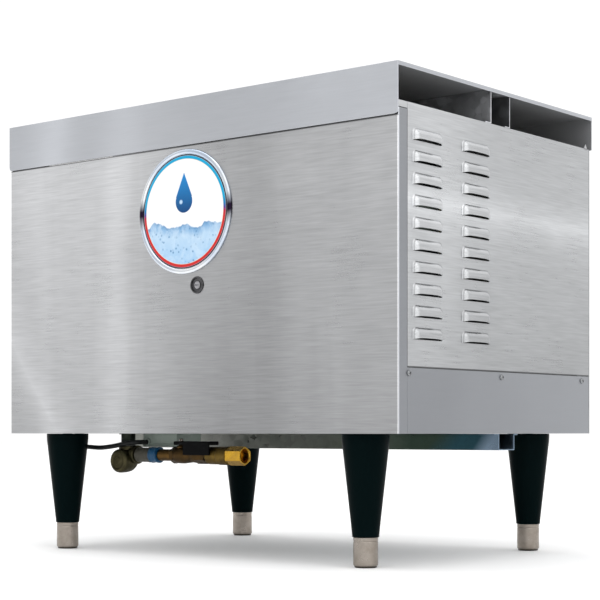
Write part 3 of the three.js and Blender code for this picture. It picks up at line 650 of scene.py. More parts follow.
def cut_by(mesh, *cutters):
    """The mesh with other meshes cut from it."""
    for cutter in cutters:
        other = linked("cutter", cutter)
        mesh = applied(mesh, "BOOLEAN", object=other, operation="DIFFERENCE", solver="EXACT")
        bpy.data.objects.remove(other)
    return mesh


def smooth_path(points, per_span):
    """A Catmull-Rom line through points."""
    p = [Vector(q) for q in points]
    p = [p[0] * 2 - p[1]] + p + [p[-1] * 2 - p[-2]]
    out = []
    for a, b, c, d in zip(p, p[1:], p[2:], p[3:]):
        for k in range(per_span):
            t = k / per_span
            square = (2 * a - 5 * b + 4 * c - d) * t**2
            cube = (3 * b - 3 * c + d - a) * t**3
            out.append(0.5 * (2 * b + (c - a) * t + square + cube))
    return out + [p[-2]]


def filleted(corner_points, radius, steps):
    """Corner points in mm joined by straight lines and rounded bends."""
    c = [Vector(p) for p in corner_points]
    out = [c[0]]
    for before, corner, after in zip(c, c[1:], c[2:]):
        into = (corner - before).normalized()
        away = (after - corner).normalized()
        half = into.angle(away) / 2
        centre = corner + (away - into).normalized() * (radius / math.cos(half))
        arm = corner - into * (radius * math.tan(half)) - centre
        axis = into.cross(away).normalized()
        for k in range(steps + 1):
            out.append(centre + Matrix.Rotation(2 * half * k / steps, 3, axis) @ arm)
    return out + [c[-1]]


def swept(path, radius, sides):
    """A round tube along points in mm."""
    bm = bmesh.new()
    last = len(path) - 1
    tangents = [(path[min(last, i + 1)] - path[max(0, i - 1)]).normalized() for i in range(last + 1)]
    side = tangents[0].orthogonal().normalized()
    rings = []
    for p, tangent in zip(path, tangents):
        side = (side - tangent * side.dot(tangent)).normalized()
        up = tangent.cross(side)
        turns = [2 * math.pi * k / sides for k in range(sides)]
        arms = [(side * math.cos(t) + up * math.sin(t)) * radius for t in turns]
        rings.append([bm.verts.new((p + arm) * MM) for arm in arms])
    for a, b in zip(rings, rings[1:]):
        bridge(bm, a, b)
    bm.faces.new(list(reversed(rings[0])))
    bm.faces.new(rings[-1])
    return from_bmesh("swept", bm)


# ---- cabinet sheet metal
SIDES = (("right", 1), ("left", -1))
CABINET_HALF = 335.5
POST_FRONT = -221.5
PANEL_FRONT = -223.0
CABINET_TOP = 545.5
# A face looks a way when at least this much of its normal does
MOSTLY = 0.5


def upright_bend(x, y, radius):
    """An upright edge to round: the low and high corners of a box about it, and the radius."""
    near = 0.05
    return ((x - near, y - near, 150), (x + near, y + near, 540), radius)


def zinc_part(node, material=GALVANISED, width=0.4):
    return refined(node, material, width)


def lower_front_skirt(mesh):
    """Brings the lower 5 mm of the lid's front skirt down by up to 0.45 mm, over the gap below it."""
    start, height, drop = 534.0 * MM, 5.0 * MM, 0.45 * MM
    for vertex in mesh.vertices:
        if vertex.co.y < 0:
            vertex.co.z -= drop * min(1.0, max(0.0, (start - vertex.co.z) / height))


def paint_lid(mesh):
    """Gives the lid's inner faces a duller, lighter stand-in material that paints the light reaching inside,
    and its lower rims a near-black painted shadow line.
    """
    under_top, skirt_inside, skirt_rim = 586.0 * MM, 223.5 * MM, 530.5 * MM
    for face in mesh.polygons:
        at, facing = face.center, face.normal
        down = facing.z < -MOSTLY
        inside = abs(abs(at.y) - skirt_inside) < 0.3 * MM and at.y * facing.y < -0.1
        if down and at.z > under_top or inside:
            face.material_index = 1
        elif down and at.z < skirt_rim:
            face.material_index = 2


zinc_part("base_pan", width=0.3)
zinc_part("under_rail", RAIL_PAINTED_SHADE, 0.45)
channel = zinc_part("lid_channel", [CHANNEL_PAINTED_LIT, CHANNEL_PAINTED_SHADE], 0.45)
# The walls that face inward get the painted shade.
for face in channel.data.polygons:
    if abs(face.normal.y) > MOSTLY and face.normal.y * face.center.y < 0:
        face.material_index = 1
zinc_part("latch_keeper")
zinc_part("rear_panel", REAR_ZINC, 0.45)
for side, sign in SIDES:
    bend = upright_bend(sign * CABINET_HALF, POST_FRONT, 1.3)
    refined("post_front_" + side, PLAIN_END, 0.3, bends=[bend])
for side, _ in SIDES:
    refined("band_" + side, PLAIN_END)
panel_bends = [upright_bend(sign * CABINET_HALF, PANEL_FRONT, 1.0) for sign in (-1, 1)]
refined("front_panel", BRUSHED_FRONT, 0.3, bends=panel_bends, body="front_panel")
lid = refined("lid", [BRUSHED_LID, LID_INSIDE_PAINTED_LIT, LID_RIM_PAINTED_SHADOW], 0.6, 3, body="lid")
lower_front_skirt(lid.data)
paint_lid(lid.data)
for node in ("saddle_left", "saddle_right", "control_plate"):
    zinc_part(node)

# ---- louvered ends
# One sheet whose louvers are pressed out of it, each open along its lower edge
LOUVER_ROWS = 10
LOUVER_PITCH = 25.86
LOUVER_SLOT_Z = 503.0
LOUVER_TALL = 14.3
LOUVER_HALF = 30.0
LOUVER_OUT = 5.2
LOUVER_LIFT = 1.8
LOUVER_COLUMNS = (-163.7, -60.15)
LOUVER_END_ROUND = 7.5
LOUVER_UPRIGHT = 6.0
END_LOW, END_FRONT, END_BACK = 237.8, -204.0, 218.3
END_SHEET = 1.2
NEAR = 1e-6


def louver_height(dy, dz):
    """How far a louver stands out, at dy along it from its middle and dz above its slot."""
    a = max(0.0, (abs(dy) - (LOUVER_HALF - LOUVER_END_ROUND)) / LOUVER_END_ROUND)
    b = max(0.0, (dz - LOUVER_UPRIGHT) / (LOUVER_TALL - LOUVER_UPRIGHT))
    r = min(1.0, math.hypot(a, b))
    flat = math.sqrt(max(0.0, 1.0 - r**2.6))
    soft = 0.5 * (1.0 + math.cos(math.pi * r))
    return LOUVER_OUT * (0.62 * flat + 0.38 * soft)


def spread(start, length, count):
    """The places that cut a length into equal parts."""
    return {round(start + k * length / count, 4) for k in range(count + 1)}


def louver_sheet():
    slots = [LOUVER_SLOT_Z - row * LOUVER_PITCH for row in range(LOUVER_ROWS)]
    ys = {END_FRONT, END_BACK}.union(*(spread(y - LOUVER_HALF, 2 * LOUVER_HALF, 30) for y in LOUVER_COLUMNS))
    zs = {END_LOW, CABINET_TOP}.union(*(spread(z, LOUVER_TALL, 10) for z in slots))
    ys, zs = sorted(ys), sorted(zs)
    bm = bmesh.new()
    known = {}

    def louver_at(y, low, high):
        """The middle and slot of the louver that holds a strip at y, if one does."""
        for middle in LOUVER_COLUMNS:
            for slot in slots:
                beside = abs(y - middle) <= LOUVER_HALF + NEAR
                if beside and slot - NEAR <= low and high <= slot + LOUVER_TALL + 1e-3:
                    return middle, slot
        return None

    def vertex(y, z, louver):
        out = lift = 0.0
        if louver:
            dy, dz = y - louver[0], z - louver[1]
            out = louver_height(dy, dz)
            if out < 1e-4:
                out = 0.0
            else:
                lift = LOUVER_LIFT * (1 - (dy / LOUVER_HALF) ** 4) * (1 - dz / LOUVER_TALL)
        key = (round(y, 3), round(z, 3), round(out, 4))
        if key not in known:
            known[key] = bm.verts.new(Vector((CABINET_HALF + out, y, z + lift)) * MM)
        return known[key]

    for y0, y1 in zip(ys, ys[1:]):
        for z0, z1 in zip(zs, zs[1:]):
            louver = louver_at((y0 + y1) / 2, z0, z1)
            quad = [vertex(y, z, louver) for y, z in ((y0, z0), (y1, z0), (y1, z1), (y0, z1))]
            if len(set(quad)) == 4:
                bm.faces.new(quad)
    bmesh.ops.dissolve_degenerate(bm, dist=1e-7, edges=bm.edges)
    mesh = bpy.data.meshes.new("louver_sheet")
    bm.normal_update()
    bm.to_mesh(mesh)
    bm.free()
    solid = applied(mesh, "SOLIDIFY", thickness=END_SHEET * MM, offset=-1.0, use_even_offset=False)
    inner = CABINET_HALF - END_SHEET
    fold = block((inner, -222.6, 537.8), (CABINET_HALF, END_FRONT - 0.05, CABINET_TOP), 0.35)
    tongue = block((332.2, -203, 216), (333.4, 188, 239), 0.3)
    below = CABINET_TOP - 1
    tab = prism([(205, below), (215, below), (210.5, 552)], "x", inner, CABINET_HALF, 0.3)
    return joined(solid, fold, tongue, tab)


sheet = louver_sheet()
piece("louver_panel_right", sheet, BRUSHED_END, 32)
piece("louver_panel_left", mirrored(sheet), BRUSHED_END, 32)

# ---- screws
AIM = {
    "+x": Matrix(),
    "-x": Matrix.Rotation(math.pi, 4, "Z"),
    "+y": Matrix.Rotation(math.pi / 2, 4, "Z"),
    "-y": Matrix.Rotation(-math.pi / 2, 4, "Z"),
}
SLOT_HALF = 0.42
MOST_TURN = 1.5


def screw_mesh(radius=3.6, tall=2.3):
    """A pan-head screw with a cross recess, facing +X."""
    curve = ((0, 1), (0.45, 0.97), (0.75, 0.82), (0.94, 0.5), (1, 0.15))
    dome = [(radius * across, tall * up) for across, up in curve]
    head = turned(dome + [(radius, -0.6), (0, -0.6)], (0, 0, 0), "x", 32)
    arm = radius * 0.55
    for y, z in ((arm, SLOT_HALF), (SLOT_HALF, arm)):
        head = cut_by(head, block((tall - 1.1, -y, -z), (tall + 1, y, z), 0))
    return head


def put_screw(name, mesh, place, facing, material):
    """A copy of a screw, moved to a place, facing an axis and turned by chance."""
    spin = Matrix.Rotation(rng.uniform(0, MOST_TURN), 4, "X")
    copy = mesh.copy()
    copy.transform(Matrix.Translation(Vector(place) * MM) @ AIM[facing] @ spin)
    made(name, copy, material, "cabinet", (), 40)


rng = random.Random(7)
screw = screw_mesh()
small_screw = screw_mesh(3.2, 2.0)
for side, sign in SIDES:
    for i, y in enumerate((-201.6, -1.4, 199.5)):
        place = (sign * (CABINET_HALF + 0.1), y, 230.5)
        put_screw(f"band_screw_{side}_{i + 1}", screw, place, "+x" if sign > 0 else "-x", SCREW_STEEL)
rear_places = [(x, z) for z in (182, 350, 530) for x in (-318, 0, 318) if (x, z) != (0, 350)]
for i, (x, z) in enumerate(rear_places):
    put_screw(f"rear_screw_{i + 1}", small_screw, (x, 220.8, z), "+y", SCREW_STEEL)

# ---- legs and feet
LEG_TOP = 159.7
LEG_END = 16.2
LEG_BORE = 6.3
STEM = 6.0


def leg_mesh(x, y, radius, low):
    """A tapering leg with a thicker top and a threaded stud above it."""
    narrow = LEG_END + 0.2
    loop = [(LEG_BORE, 100), (LEG_BORE, low), (LEG_END, low), (narrow, low + 4)]
    for k in range(1, 8):
        t = k / 7
        loop.append((narrow + (radius - LEG_END - 0.5) * t, low + 4 + (LEG_TOP - 14 - low) * t))
    stud_top = LEG_TOP + 18
    loop += [(radius, LEG_TOP - 5), (radius, LEG_TOP), (STEM, LEG_TOP), (STEM, stud_top)]
    loop += [(0, stud_top), (0, 100)]
    return lathe(loop, (x, y, 0), "z", 80, 0.9)


def foot_mesh(x, y, r):
    """A turned foot with a stem, which screws into its leg."""
    loop = [(0, 0), (r - 2.0, 0), (r - 1.2, 1.3), (r - 1.2, 2.2), (r - 0.1, 3.0), (r, 4.5), (r, 30.5)]
    loop += [(r - 0.35, 31.0), (r - 0.35, 31.8), (r, 32.3), (r, 36), (STEM, 36), (STEM, 84), (0, 84)]
    return lathe(loop, (x, y, 0), "z", 72, 0.35, 2)


for corner in ("front_right", "front_left", "rear_right", "rear_left"):
    leg, foot = "leg_" + corner, "foot_" + corner
    (x, y, _), (leg_radius, _, _) = middle_and_half(leg)
    foot_radius = middle_and_half(foot)[1].x
    piece(leg, leg_mesh(x, y, leg_radius, corners(leg)[0].z), LEG_PLASTIC, 30)
    piece(foot, foot_mesh(x, y, foot_radius), NICKEL, 30, foot)

# ---- badge
WATER_TINTS = [
    (0.0, (0.1, 0.25, 0.45)), (0.1, (0.2, 0.38, 0.6)), (0.28, (0.42, 0.58, 0.74)), (1.0, (0.3, 0.5, 0.72)),
]
RING_TINTS = [
    (0.0, (0.55, 0.018, 0.016)), (0.35, (0.45, 0.015, 0.04)), (0.5, (0.08, 0.03, 0.25)),
    (0.7, (0.0, 0.17, 0.42)), (1.0, (0.0, 0.32, 0.56)),
]
GROUND_WHITE = (0.8, 0.81, 0.82)
LINE_GOLD = (0.8, 0.66, 0.45)
EDGE_BLACK = (0.03, 0.03, 0.032)


def length(s, a, b):
    return s.math("SQRT", s.plus(s.times(a, a), s.times(b, b)))


def band(s, value, start, full, still, end):
    """1 between full and still, and 0 before start and after end."""
    return s.times(s.span(value, start, full), s.span(value, still, end, 1.0, 0.0))


def water(s, z, ground):
    """Water over a ground: darker at its wavy surface, with beads in it."""
    wave = s.noise(30.0, s.moved((1, 1, 0.0), (2, 0, 0)), 3.0, 0.55)
    depth = s.minus(s.plus(s.times(s.minus(wave, 0.5), 0.034), -0.0165), z)
    tint = s.ramp(s.span(depth, 0.0, 0.05), WATER_TINTS)
    cloud = s.noise(75.0, s.moved((1, 1, 0.8)), 4.0, 0.65, 0.8)
    tint = s.mix(s.span(cloud, 0.42, 0.66, 0.0, 0.6), tint, (0.55, 0.68, 0.8))
    cells = s.add("ShaderNodeTexVoronoi", {"Vector": s.moved((1, 0.0, 1)), "Scale": 150.0})
    bead = s.span(cells.outputs["Distance"], 0.14, 0.3, 1.0, 0.0)
    bead = s.times(bead, s.span(cloud, 0.4, 0.56, 0.85, 0.15))
    tint = s.mix(bead, tint, (0.06, 0.19, 0.38))
    return s.mix(s.span(depth, -0.0006, 0.0008), ground, tint)


def plain_drop(s, x, z, ground):
    """A drop over a ground: a circle below a tapering tip, with one soft highlight."""
    centre, radius, tip, slant = 0.013, 0.0145, 0.050, 0.452
    body = s.span(length(s, x, s.minus(z, centre)), radius - 0.0002, radius + 0.0003, 1.0, 0.0)
    side = s.minus(s.times(s.minus(tip, z), slant), s.size(x))
    upper = s.span(z, centre + 0.0055, centre + 0.006)
    cone = s.times(s.span(side, -0.0002, 0.0003), upper)
    tint = s.mix(s.span(z, -0.002, 0.045), (0.0, 0.045, 0.16), (0.01, 0.2, 0.5))
    shine = length(s, s.plus(x, 0.0052), s.minus(z, 0.0125))
    tint = s.mix(s.span(shine, 0.0018, 0.0034, 0.85, 0.0), tint, (0.5, 0.68, 0.85))
    return s.mix(s.math("MAXIMUM", body, cone), ground, tint)


def badge_print():
    """The badge's face: a ring of two colours, a white ground with a plain drop, and a band of water."""
    s = Shader("badge_print", (0.9, 0.9, 0.9), 0.3, 0.0, Specular_IOR_Level=0.25)
    middle, half = middle_and_half("badge_face")
    inputs = {0: s.place, 1: tuple(middle * MM)}
    x, _, z = s.parts(s.add("ShaderNodeVectorMath", inputs, operation="SUBTRACT").outputs[0])
    r = s.math("DIVIDE", length(s, x, z), half.x * MM)
    face = plain_drop(s, x, z, water(s, z, GROUND_WHITE))
    ring_tint = s.ramp(s.span(z, -0.014, 0.014), RING_TINTS)
    face = s.mix(band(s, r, 0.925, 0.931, 0.978, 0.984), face, ring_tint)
    face = s.mix(s.times(band(s, r, 0.918, 0.923, 0.927, 0.932), 0.7), face, LINE_GOLD)
    face = s.mix(s.span(r, 0.98, 0.986), face, EDGE_BLACK)
    s.color(face)
    s.bump((s.noise(500.0), 0.03, 0.0001))
    return s.mat


def bezel_chrome():
    """Bright chrome with a painted dark reflection at its two sides and painted pale reflections elsewhere.
    """
    s = Shader("bezel_chrome", (0.62, 0.67, 0.73), 0.12, 1.0)
    middle = 0.445
    off = s.size(s.plus(s.minus(s.parts()[2], middle), s.wander(26.0, 0.014)))
    # A painted dark reflection in a level strip across the middle, over painted pale reflections.
    dark = s.span(off, 0.003, 0.02, 1.0, 0.0)
    pale = s.mix(s.span(s.noise(18.0), 0.4, 0.65), (0.5, 0.57, 0.68), (0.74, 0.76, 0.78))
    s.color(s.mix(dark, pale, (0.02, 0.012, 0.03)))
    s.rough(s.span(s.noise(120.0), 0.3, 0.7, 0.08, 0.2))
    s.bump((s.noise(300.0), 0.03, 0.0001))
    return s.mat


def bezel_mesh(centre, outer, back):
    """A flat ring that carries a half-round bead."""
    loop = [(72.8, back), (outer, back), (outer, back - 0.7)]
    for k in range(13):
        t = math.pi * k / 12
        loop.append((outer - 3.4 + 3.3 * math.cos(t), back - 0.8 - 2.1 * math.sin(t)))
    return turned(loop + [(73.0, back - 0.9)], centre, "y", 128)


def badge_dome(centre, back):
    """A disc whose face is slightly domed and rounds off at its rim."""
    edge = 72.6
    loop = [(0, back), (edge, back), (edge, back - 1.0)]
    loop += [(edge - 0.4 * k, back - 1.0 - 0.35 * math.sin(k / 8 * math.pi / 2)) for k in range(1, 9)]
    loop += [(60, back - 1.5), (40, back - 1.65), (20, back - 1.75), (0, back - 1.8)]
    return turned(loop, centre, "y", 128)


badge_middle, badge_half = middle_and_half("badge_bezel")
badge_centre = (badge_middle.x, 0, badge_middle.z)
badge_back = corners("badge_bezel")[1].y
bezel = bezel_mesh(badge_centre, badge_half.x, badge_back)
piece("badge_bezel", bezel, bezel_chrome(), 50, "front_panel")
piece("badge_face", badge_dome(badge_centre, badge_back), badge_print(), 50, "front_panel")

# ---- latch
latch_middle = middle_and_half("latch_housing")[0]
lx, lz = latch_middle.x, latch_middle.z
housing = [
    (5.3, -205), (8.5, -205), (8.5, PANEL_FRONT - 0.3), (11, PANEL_FRONT - 0.3), (11, PANEL_FRONT - 1.0),
    (10.4, PANEL_FRONT - 1.7), (9.6, PANEL_FRONT - 1.95), (8.9, PANEL_FRONT - 1.7), (8.4, PANEL_FRONT + 0.4),
    (5.3, PANEL_FRONT + 0.9),
]
housing = lathe(housing, (lx, 0, lz), "y", 64, 0.3, 2)
piece("latch_housing", housing, LATCH_NICKEL, 30, "front_panel")
plug = [(0, -222.9), (4.9, -222.9), (5.0, -222.0), (5.0, -202), (0, -202)]
plug = lathe(plug, (lx, 0, lz), "y", 48, 0.3, 2)
plug = cut_by(plug, block((lx - 3.9, -224, lz - 0.9), (lx + 3.9, -220.4, lz + 0.9), 0))
cam = [(-6, 6), (-6, -24), (-3, -27), (3, -27), (6, -24), (6, 6)]
cam = prism([(lx + x, lz + z) for x, z in cam], "y", -203, -200.5, 0.4)
piece("latch_rotor", joined(plug, cam), LATCH_PLUG, 35, "latch")

# ---- inlet pipework
PIPE_Y, PIPE_Z, RISER_X = -135.0, 130.5, -191.0
PIPE_CENTRE = (0, PIPE_Y, PIPE_Z)
BORE = 6.5


def pipe_part(node, loop, material, extra=(), radius=0.5):
    """A part turned about the pipe run's axis, from the outline [radius, x] of its outside."""
    loop = [(BORE, loop[0][1]), *loop, (BORE, loop[-1][1])]
    mesh = lathe(loop, PIPE_CENTRE, "x", 56, radius, 2)
    piece(node, joined(mesh, *extra) if extra else mesh, material, 32)


def bore_cut(start, stop, centre=PIPE_CENTRE, axis="x"):
    return turned([(0, start), (BORE, start), (BORE, stop), (0, stop)], centre, axis, 36)


riser = [(RISER_X, PIPE_Y, 143), (RISER_X, PIPE_Y, 240), (RISER_X, -77.5, 240)]
piece("inlet_riser", swept(filleted(riser, 20, 12), 9.9, 36), RISER_PIPE, 40)

tee_neck = [
    (BORE, 124), (11, 124), (12, 128), (12, 136), (13.2, 137), (13.2, 142), (12.4, 142.7), (BORE, 142.7),
]
tee_arm = [(BORE, -4), (12, -4), (12, 12), (13.0, 13), (13.0, 19), (12.4, 20), (BORE, 20)]
tee_body = [
    (0, -21.5), (5.2, -21.5), (5.6, -20.6), (10.5, -20.6), (11.4, -22), (13, -22), (16.0, -19), (16.6, -15),
    (16.3, -6), (15, 2), (11.5, 8), (6, 10.6), (0, 11),
]
tee = joined(
    lathe(tee_neck, (RISER_X, PIPE_Y, 0), "z", 56),
    lathe(tee_arm, (RISER_X, PIPE_Y, PIPE_Z), "x", 56),
    lathe(tee_body, (RISER_X, PIPE_Y, 122), "y", 56, 1.0),
)
piece("inlet_tee", tee, BRONZE, 40)

coupling = [
    (9.6, -170.7), (10.5, -169.5), (10.5, -166), (9.9, -165.2), (9.9, -150), (10.5, -149.2), (10.5, -145.2),
    (9.8, -144.2),
]
pipe_part("inlet_coupling", coupling, FITTING_GREY)
collar = [
    (10.4, -143.9), (11, -143.2), (11, -141), (10.5, -140.4), (10.5, -132.6), (11, -132), (11, -130),
    (10.4, -129.2),
]
pipe_part("inlet_collar", collar, BLUE_PLASTIC)
pipe_part("copper_tube", [(8, -128.9), (8, -104.3)], COPPER)

# The valve, with its lever
STEM_X = -90.0
STEM_CENTRE = (STEM_X, PIPE_Y, 0)
valve_ends = [
    cut_by(prism(hexagon(20, PIPE_Y, PIPE_Z), "x", start, stop, 0.5), bore_cut(start - 2, stop + 2))
    for start, stop in ((-104, -97), (-59, -40.3))
]
stem = lathe([(0, 139), (3, 139), (3, 152.4), (2.4, 153), (0, 153)], STEM_CENTRE, "z", 28, 0.3, 2)
bonnet = lathe([(0, 138), (6.0, 138), (6.0, 142.5), (4.4, 143.6), (0, 143.6)], STEM_CENTRE, "z", 36, 0.4, 2)
valve = [(9.8, -98), (10.8, -96), (11.2, -90), (11.2, -82), (10.2, -74), (9.6, -66), (10.2, -60), (9.6, -58)]
pipe_part("valve_body", valve, VALVE_BRONZE, [*valve_ends, stem, bonnet], 1.0)
lever_top = [
    (STEM_X - 8, -142), (STEM_X + 14, -149.5), (-28, -149.5), (-26, -147), (-26, -130), (-28, -128),
    (STEM_X - 6, -127), (STEM_X - 8, -129),
]
lever_top = prism(lever_top, "z", 144.5, 149.5, 1.2, 3)
lever_top = cut_by(lever_top, turned([(0, 140), (3.3, 140), (3.3, 155), (0, 155)], STEM_CENTRE, "z", 28))
lever_front = block((STEM_X + 16, -149.5, 131), (-26.5, -147, 146), 0.9, 3)
piece("valve_lever", joined(lever_top, lever_front), GRIP, 35, "valve_lever")
stem_nut = prism(hexagon(5.5, STEM_X, PIPE_Y), "z", 149.7, 152.0, 0.3)
made("valve_stem_nut", stem_nut, CHROME, "valve_lever", (), 35)

brass_body = [
    (9.8, -40), (10.2, -38.6), (11.7, -36.6), (11.7, -21), (11.2, -20), (11.2, -18.6), (12.4, -17.6),
    (12.4, -2), (11.6, -1.3),
]
pipe_part("brass_body", brass_body, BRASS_PAINTED_SHADE)
union = prism(hexagon(22, PIPE_Y, PIPE_Z), "x", -1, 25, 0)
end_chamfer = turned([(11.2, 30), (20, 30), (20, 20), (12.9, 24.2), (11.6, 25.4)], PIPE_CENTRE, "x", 56)
start_chamfer = turned([(11.6, -1.4), (12.9, -0.2), (20, 4), (20, -6), (11.2, -6)], PIPE_CENTRE, "x", 56)
mouth = [(0, -5), (BORE, -5), (BORE, 12), (9, 12), (9, 23.6), (10, 25.2), (10, 30), (0, 30)]
union = cut_by(union, end_chamfer, start_chamfer, turned(mouth, PIPE_CENTRE, "x", 48))
piece("union_nut", bevelled(union, 0.25), BRASS, 30)

# ---- outlet and relief fittings
OUT_X, OUT_Z = -250.0, 440.0
OUT_CENTRE = (OUT_X, 0, OUT_Z)
collar_nut = prism(hexagon(30, OUT_X, OUT_Z), "y", 205, 218.4, 0.7)
spigot = [(BORE, 217), (10.6, 217), (10.6, 225.2), (9.8, 226.2), (7.4, 226.2), (BORE, 225.2)]
outlet = joined(
    cut_by(collar_nut, bore_cut(200, 225, OUT_CENTRE, "y")),
    lathe([(BORE, 162.5), (10, 162.5), (10, 206), (BORE, 206)], OUT_CENTRE, "y", 48, 0.5),
    lathe(spigot, OUT_CENTRE, "y", 56, 0.3, 2),
)
piece("outlet_nipple", outlet, BRASS, 35)
refined("relief_valve", BRASS, 0.3, smooth=40)
refined("relief_lever", CHROME, 0.5, body="relief_lever")
relief_pipe = lathe([(6, 62.3), (8, 62.3), (8, 226.2), (6, 226.2)], (-100, 0, 532), "y", 56, 0.4, 2)
piece("relief_pipe", relief_pipe, COPPER, 35)

# ---- cable, gland and small box
GLAND_CENTRE = (-285, -140, 0)
CABLE_ROUTE = [
    (-285, -140, 174), (-285, -140, 160), (-284.6, -140.2, 150), (-280.5, -142, 144.6), (-268, -148, 142),
    (-249, -151.5, 140.8), (-229, -152.6, 140.1), (-211, -152.7, 141.4), (-196, -152.6, 143.3),
    (-182, -152.2, 145.8), (-172, -150.6, 147.0), (-165.5, -146.2, 147.7), (-163, -139, 148),
    (-163, -128, 148), (-163, -117.5, 148),
]
piece("cable", swept(smooth_path(CABLE_ROUTE, 6), 3.2, 20), RUBBER, 50)
gland = joined(
    prism(hexagon(17, *GLAND_CENTRE[:2]), "z", 153.4, 159.7, 0.5),
    lathe([(3.6, 150.5), (6.4, 150.5), (7.4, 153.6), (3.6, 153.6)], GLAND_CENTRE, "z", 40, 0.8),
    lathe([(3.6, 159), (6.4, 159), (6.4, 168), (3.6, 168)], GLAND_CENTRE, "z", 40, 0.4),
)
piece("cable_gland", gland, DARK_PLASTIC, 35)
low, high = corners("junction_box")
grommet_centre = (-163, low.y, 148)
small_box = joined(
    block(tuple(low), (high.x, high.y, low.z + 4.6), 1.2, 3),
    block((low.x + 0.5, low.y + 0.5, low.z + 4.2), (high.x - 0.5, high.y - 0.5, high.z), 0.6, 2),
    lathe([(3.4, -2.4), (5.4, -2.4), (6.2, 1.0), (3.4, 1.0)], grommet_centre, "y", 32, 0.5),
)
piece("junction_box", small_box, GREY_PLASTIC, 35)

# ---- tank and elements
TANK_CENTRE = (0, 35.0, 350.0)
STRAP_PLACES = (-220, -85, 50)
ELEMENT_CIRCLE, ELEMENT_SPAN, ELEMENT_BACK, ELEMENT_FRONT = 30, 11, -230, 204


def jacket_mesh():
    """The blanket round the tank, drawn in a little under each strap."""
    loop = [(0, -325), (160, -325), (170, -322), (172, -316)]
    for strap in STRAP_PLACES:
        for x in range(strap - 12, strap + 13, 3):
            loop.append((172 - 1.4 * math.exp(-(((x - strap) / 5.0) ** 2)), x))
    loop += [(172, 146), (169, 152), (160, 154), (62, 154), (62, 143), (153, 143), (153, -304.5), (0, -304.5)]
    return turned(loop, TANK_CENTRE, "x", 96)


def element_path(turn):
    """A hairpin that lies across a radius of the tank's axis."""
    _, y, z = TANK_CENTRE
    across, up = math.cos(turn), math.sin(turn)
    ends = []
    for aside in (-ELEMENT_SPAN, ELEMENT_SPAN):
        ends.append((y + ELEMENT_CIRCLE * across - aside * up, z + ELEMENT_CIRCLE * up + aside * across))
    out = [(x, *ends[0]) for x in (ELEMENT_FRONT, ELEMENT_BACK)]
    home = [(x, *ends[1]) for x in (ELEMENT_BACK, ELEMENT_FRONT)]
    return filleted(out + home, 9, 8)


piece("tank_jacket", jacket_mesh(), WOOL, 60)
for i, x in enumerate(STRAP_PLACES):
    strap = [(170.9, x - 6), (171.7, x - 6), (171.7, x + 6), (170.9, x + 6)]
    strap = lathe(strap, TANK_CENTRE, "x", 96, 0.2, 1)
    made(f"jacket_strap_{i + 1}", strap, GALVANISED, "cabinet", (), 40)
refined("tank_shell", TANK_STEEL, 0.5, 1, smooth=50)
refined("element_flange", TANK_STEEL, 0.6, smooth=40)
gasket = lathe([(50, 166.3), (78, 166.3), (78, 168.3), (50, 168.3)], TANK_CENTRE, "x", 80, 0.4, 2)
piece("element_gasket", gasket, RUBBER, 40)
for i, turn in enumerate((90, 210, 330)):
    tube = swept(element_path(math.radians(turn)), 3.95, 20)
    piece(f"heating_element_{i + 1}", tube, SHEATH, 45)

# ---- controls
CONTROL_X, KNOB_Z, BUTTON_Z = 299, 419, 320
KNOB_FACE = -180.3
TERMINALS, TERMINAL_FIRST, TERMINAL_PITCH = 5, 223.6, 21.2

refined("terminal_block", DARK_PLASTIC, 0.6)
for i in range(TERMINALS):
    x = TERMINAL_FIRST + i * TERMINAL_PITCH
    for k, z in enumerate((478, 494)):
        put_screw(f"terminal_screw_{i + 1}_{k + 1}", small_screw, (x, -148.4, z), "-y", BRASS)
refined("contactor", DARK_PLASTIC, 0.8)
refined("contactor_plunger", GREY_PLASTIC, 0.5, body="contactor_plunger")
refined("thermostat", GREY_PLASTIC, 0.9, smooth=40)
refined("high_limit", DARK_PLASTIC, 0.7, smooth=40)
knob = [(3.4, KNOB_FACE + 4), (3.4, -164.8), (15.2, -164.8), (16, -165.8), (16, -168)]
knob += [(14.6, -169), (14.2, KNOB_FACE + 1.2), (13.4, KNOB_FACE), (0, KNOB_FACE), (0, KNOB_FACE + 4)]
knob = lathe(knob, (CONTROL_X, 0, KNOB_Z), "y", 64, 0.5)
low_mark = (CONTROL_X - 1.3, KNOB_FACE - 1.9, KNOB_Z + 1)
high_mark = (CONTROL_X + 1.3, KNOB_FACE + 0.5, KNOB_Z + 14)
knob = joined(knob, block(low_mark, high_mark, 0.5))
piece("thermostat_knob", knob, GRIP, 35, "thermostat_knob")
button = [(0, -161.3), (3.9, -161.3), (4.1, -160.6), (4.1, -148.3), (0, -148.3)]
button = lathe(button, (CONTROL_X, 0, BUTTON_Z), "y", 40, 0.6)
piece("reset_button", button, RED_PLASTIC, 35, "reset_button")


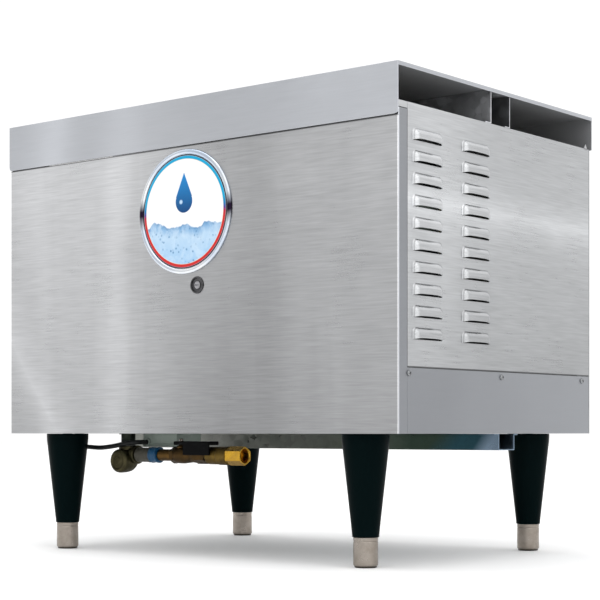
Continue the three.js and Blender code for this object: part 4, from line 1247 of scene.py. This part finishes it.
# ---- stage and light
def backdrop():
    half, drop = 14.0, 0.0002
    bm = bmesh.new()
    square = ((-half, -half), (half, -half), (half, half), (-half, half))
    bm.faces.new([bm.verts.new((x, y, -drop)) for x, y in square])
    ob = linked("floor", from_bmesh("floor", bm))
    s = Shader("pale_floor", (0.93, 0.93, 0.93), 0.75)
    s.set(s.surface, "Specular IOR Level", 0.2)
    ob.data.materials.append(s.mat)


# Brightness of the studio by compass angle, and by height (sine of the elevation)
SKY_UNIT = 0.4
SKY_AROUND = [
    (-180, 1.0), (-160, 1.05), (-142, 1.0), (-134, 0.86), (-124, 0.78), (-112, 0.8), (-95, 1.05), (-60, 1.3),
    (-25, 1.35), (0, 1.4), (25, 1.15), (40, 0.9), (56, 0.84), (66, 0.92), (90, 1.02), (110, 1.05), (180, 1.0),
]
SKY_HEIGHT = [(0.0, 0.98), (0.05, 1.0), (0.3, 1.03), (0.6, 1.25), (1.0, 1.35)]


def studio_sky():
    """White all round behind the object; softer and uneven on the side that the steel mirrors."""
    world = bpy.data.worlds.new("studio")
    bpy.context.scene.world = world
    world.use_nodes = True
    n = Nodes(world.node_tree, "Generated")
    x, y, z = n.parts()

    def levels(value, stops):
        """Levels along a value, kept in units so that none passes 1."""
        return n.ramp(value, [(at, (level * SKY_UNIT,) * 3) for at, level in stops], "B_SPLINE")

    around = n.span(n.math("ARCTAN2", y, x), -math.pi, math.pi)
    ring = levels(around, [((angle + 180.0) / 360.0, level) for angle, level in SKY_AROUND])
    back = n.tree.nodes["Background"]
    n.set(back, "Color", n.mix(1.0, ring, levels(z, SKY_HEIGHT), "MULTIPLY"))
    n.set(back, "Strength", 1.0 / SKY_UNIT**2)


def softbox(name, place, target, size, power):
    light = bpy.data.lights.new(name, "AREA")
    light.shape = "RECTANGLE"
    light.size, light.size_y = size
    light.energy = power
    ob = linked(name, light)
    ob.location = place
    ob.rotation_euler = (Vector(target) - Vector(place)).to_track_quat("-Z", "Y").to_euler()


backdrop()
studio_sky()
softbox("top", (-0.3, -0.5, 3.4), (0, 0, 0.3), (2.4, 2.4), 25)
bpy.context.scene.view_settings.view_transform = "Standard"
bpy.context.scene.view_settings.look = "None"
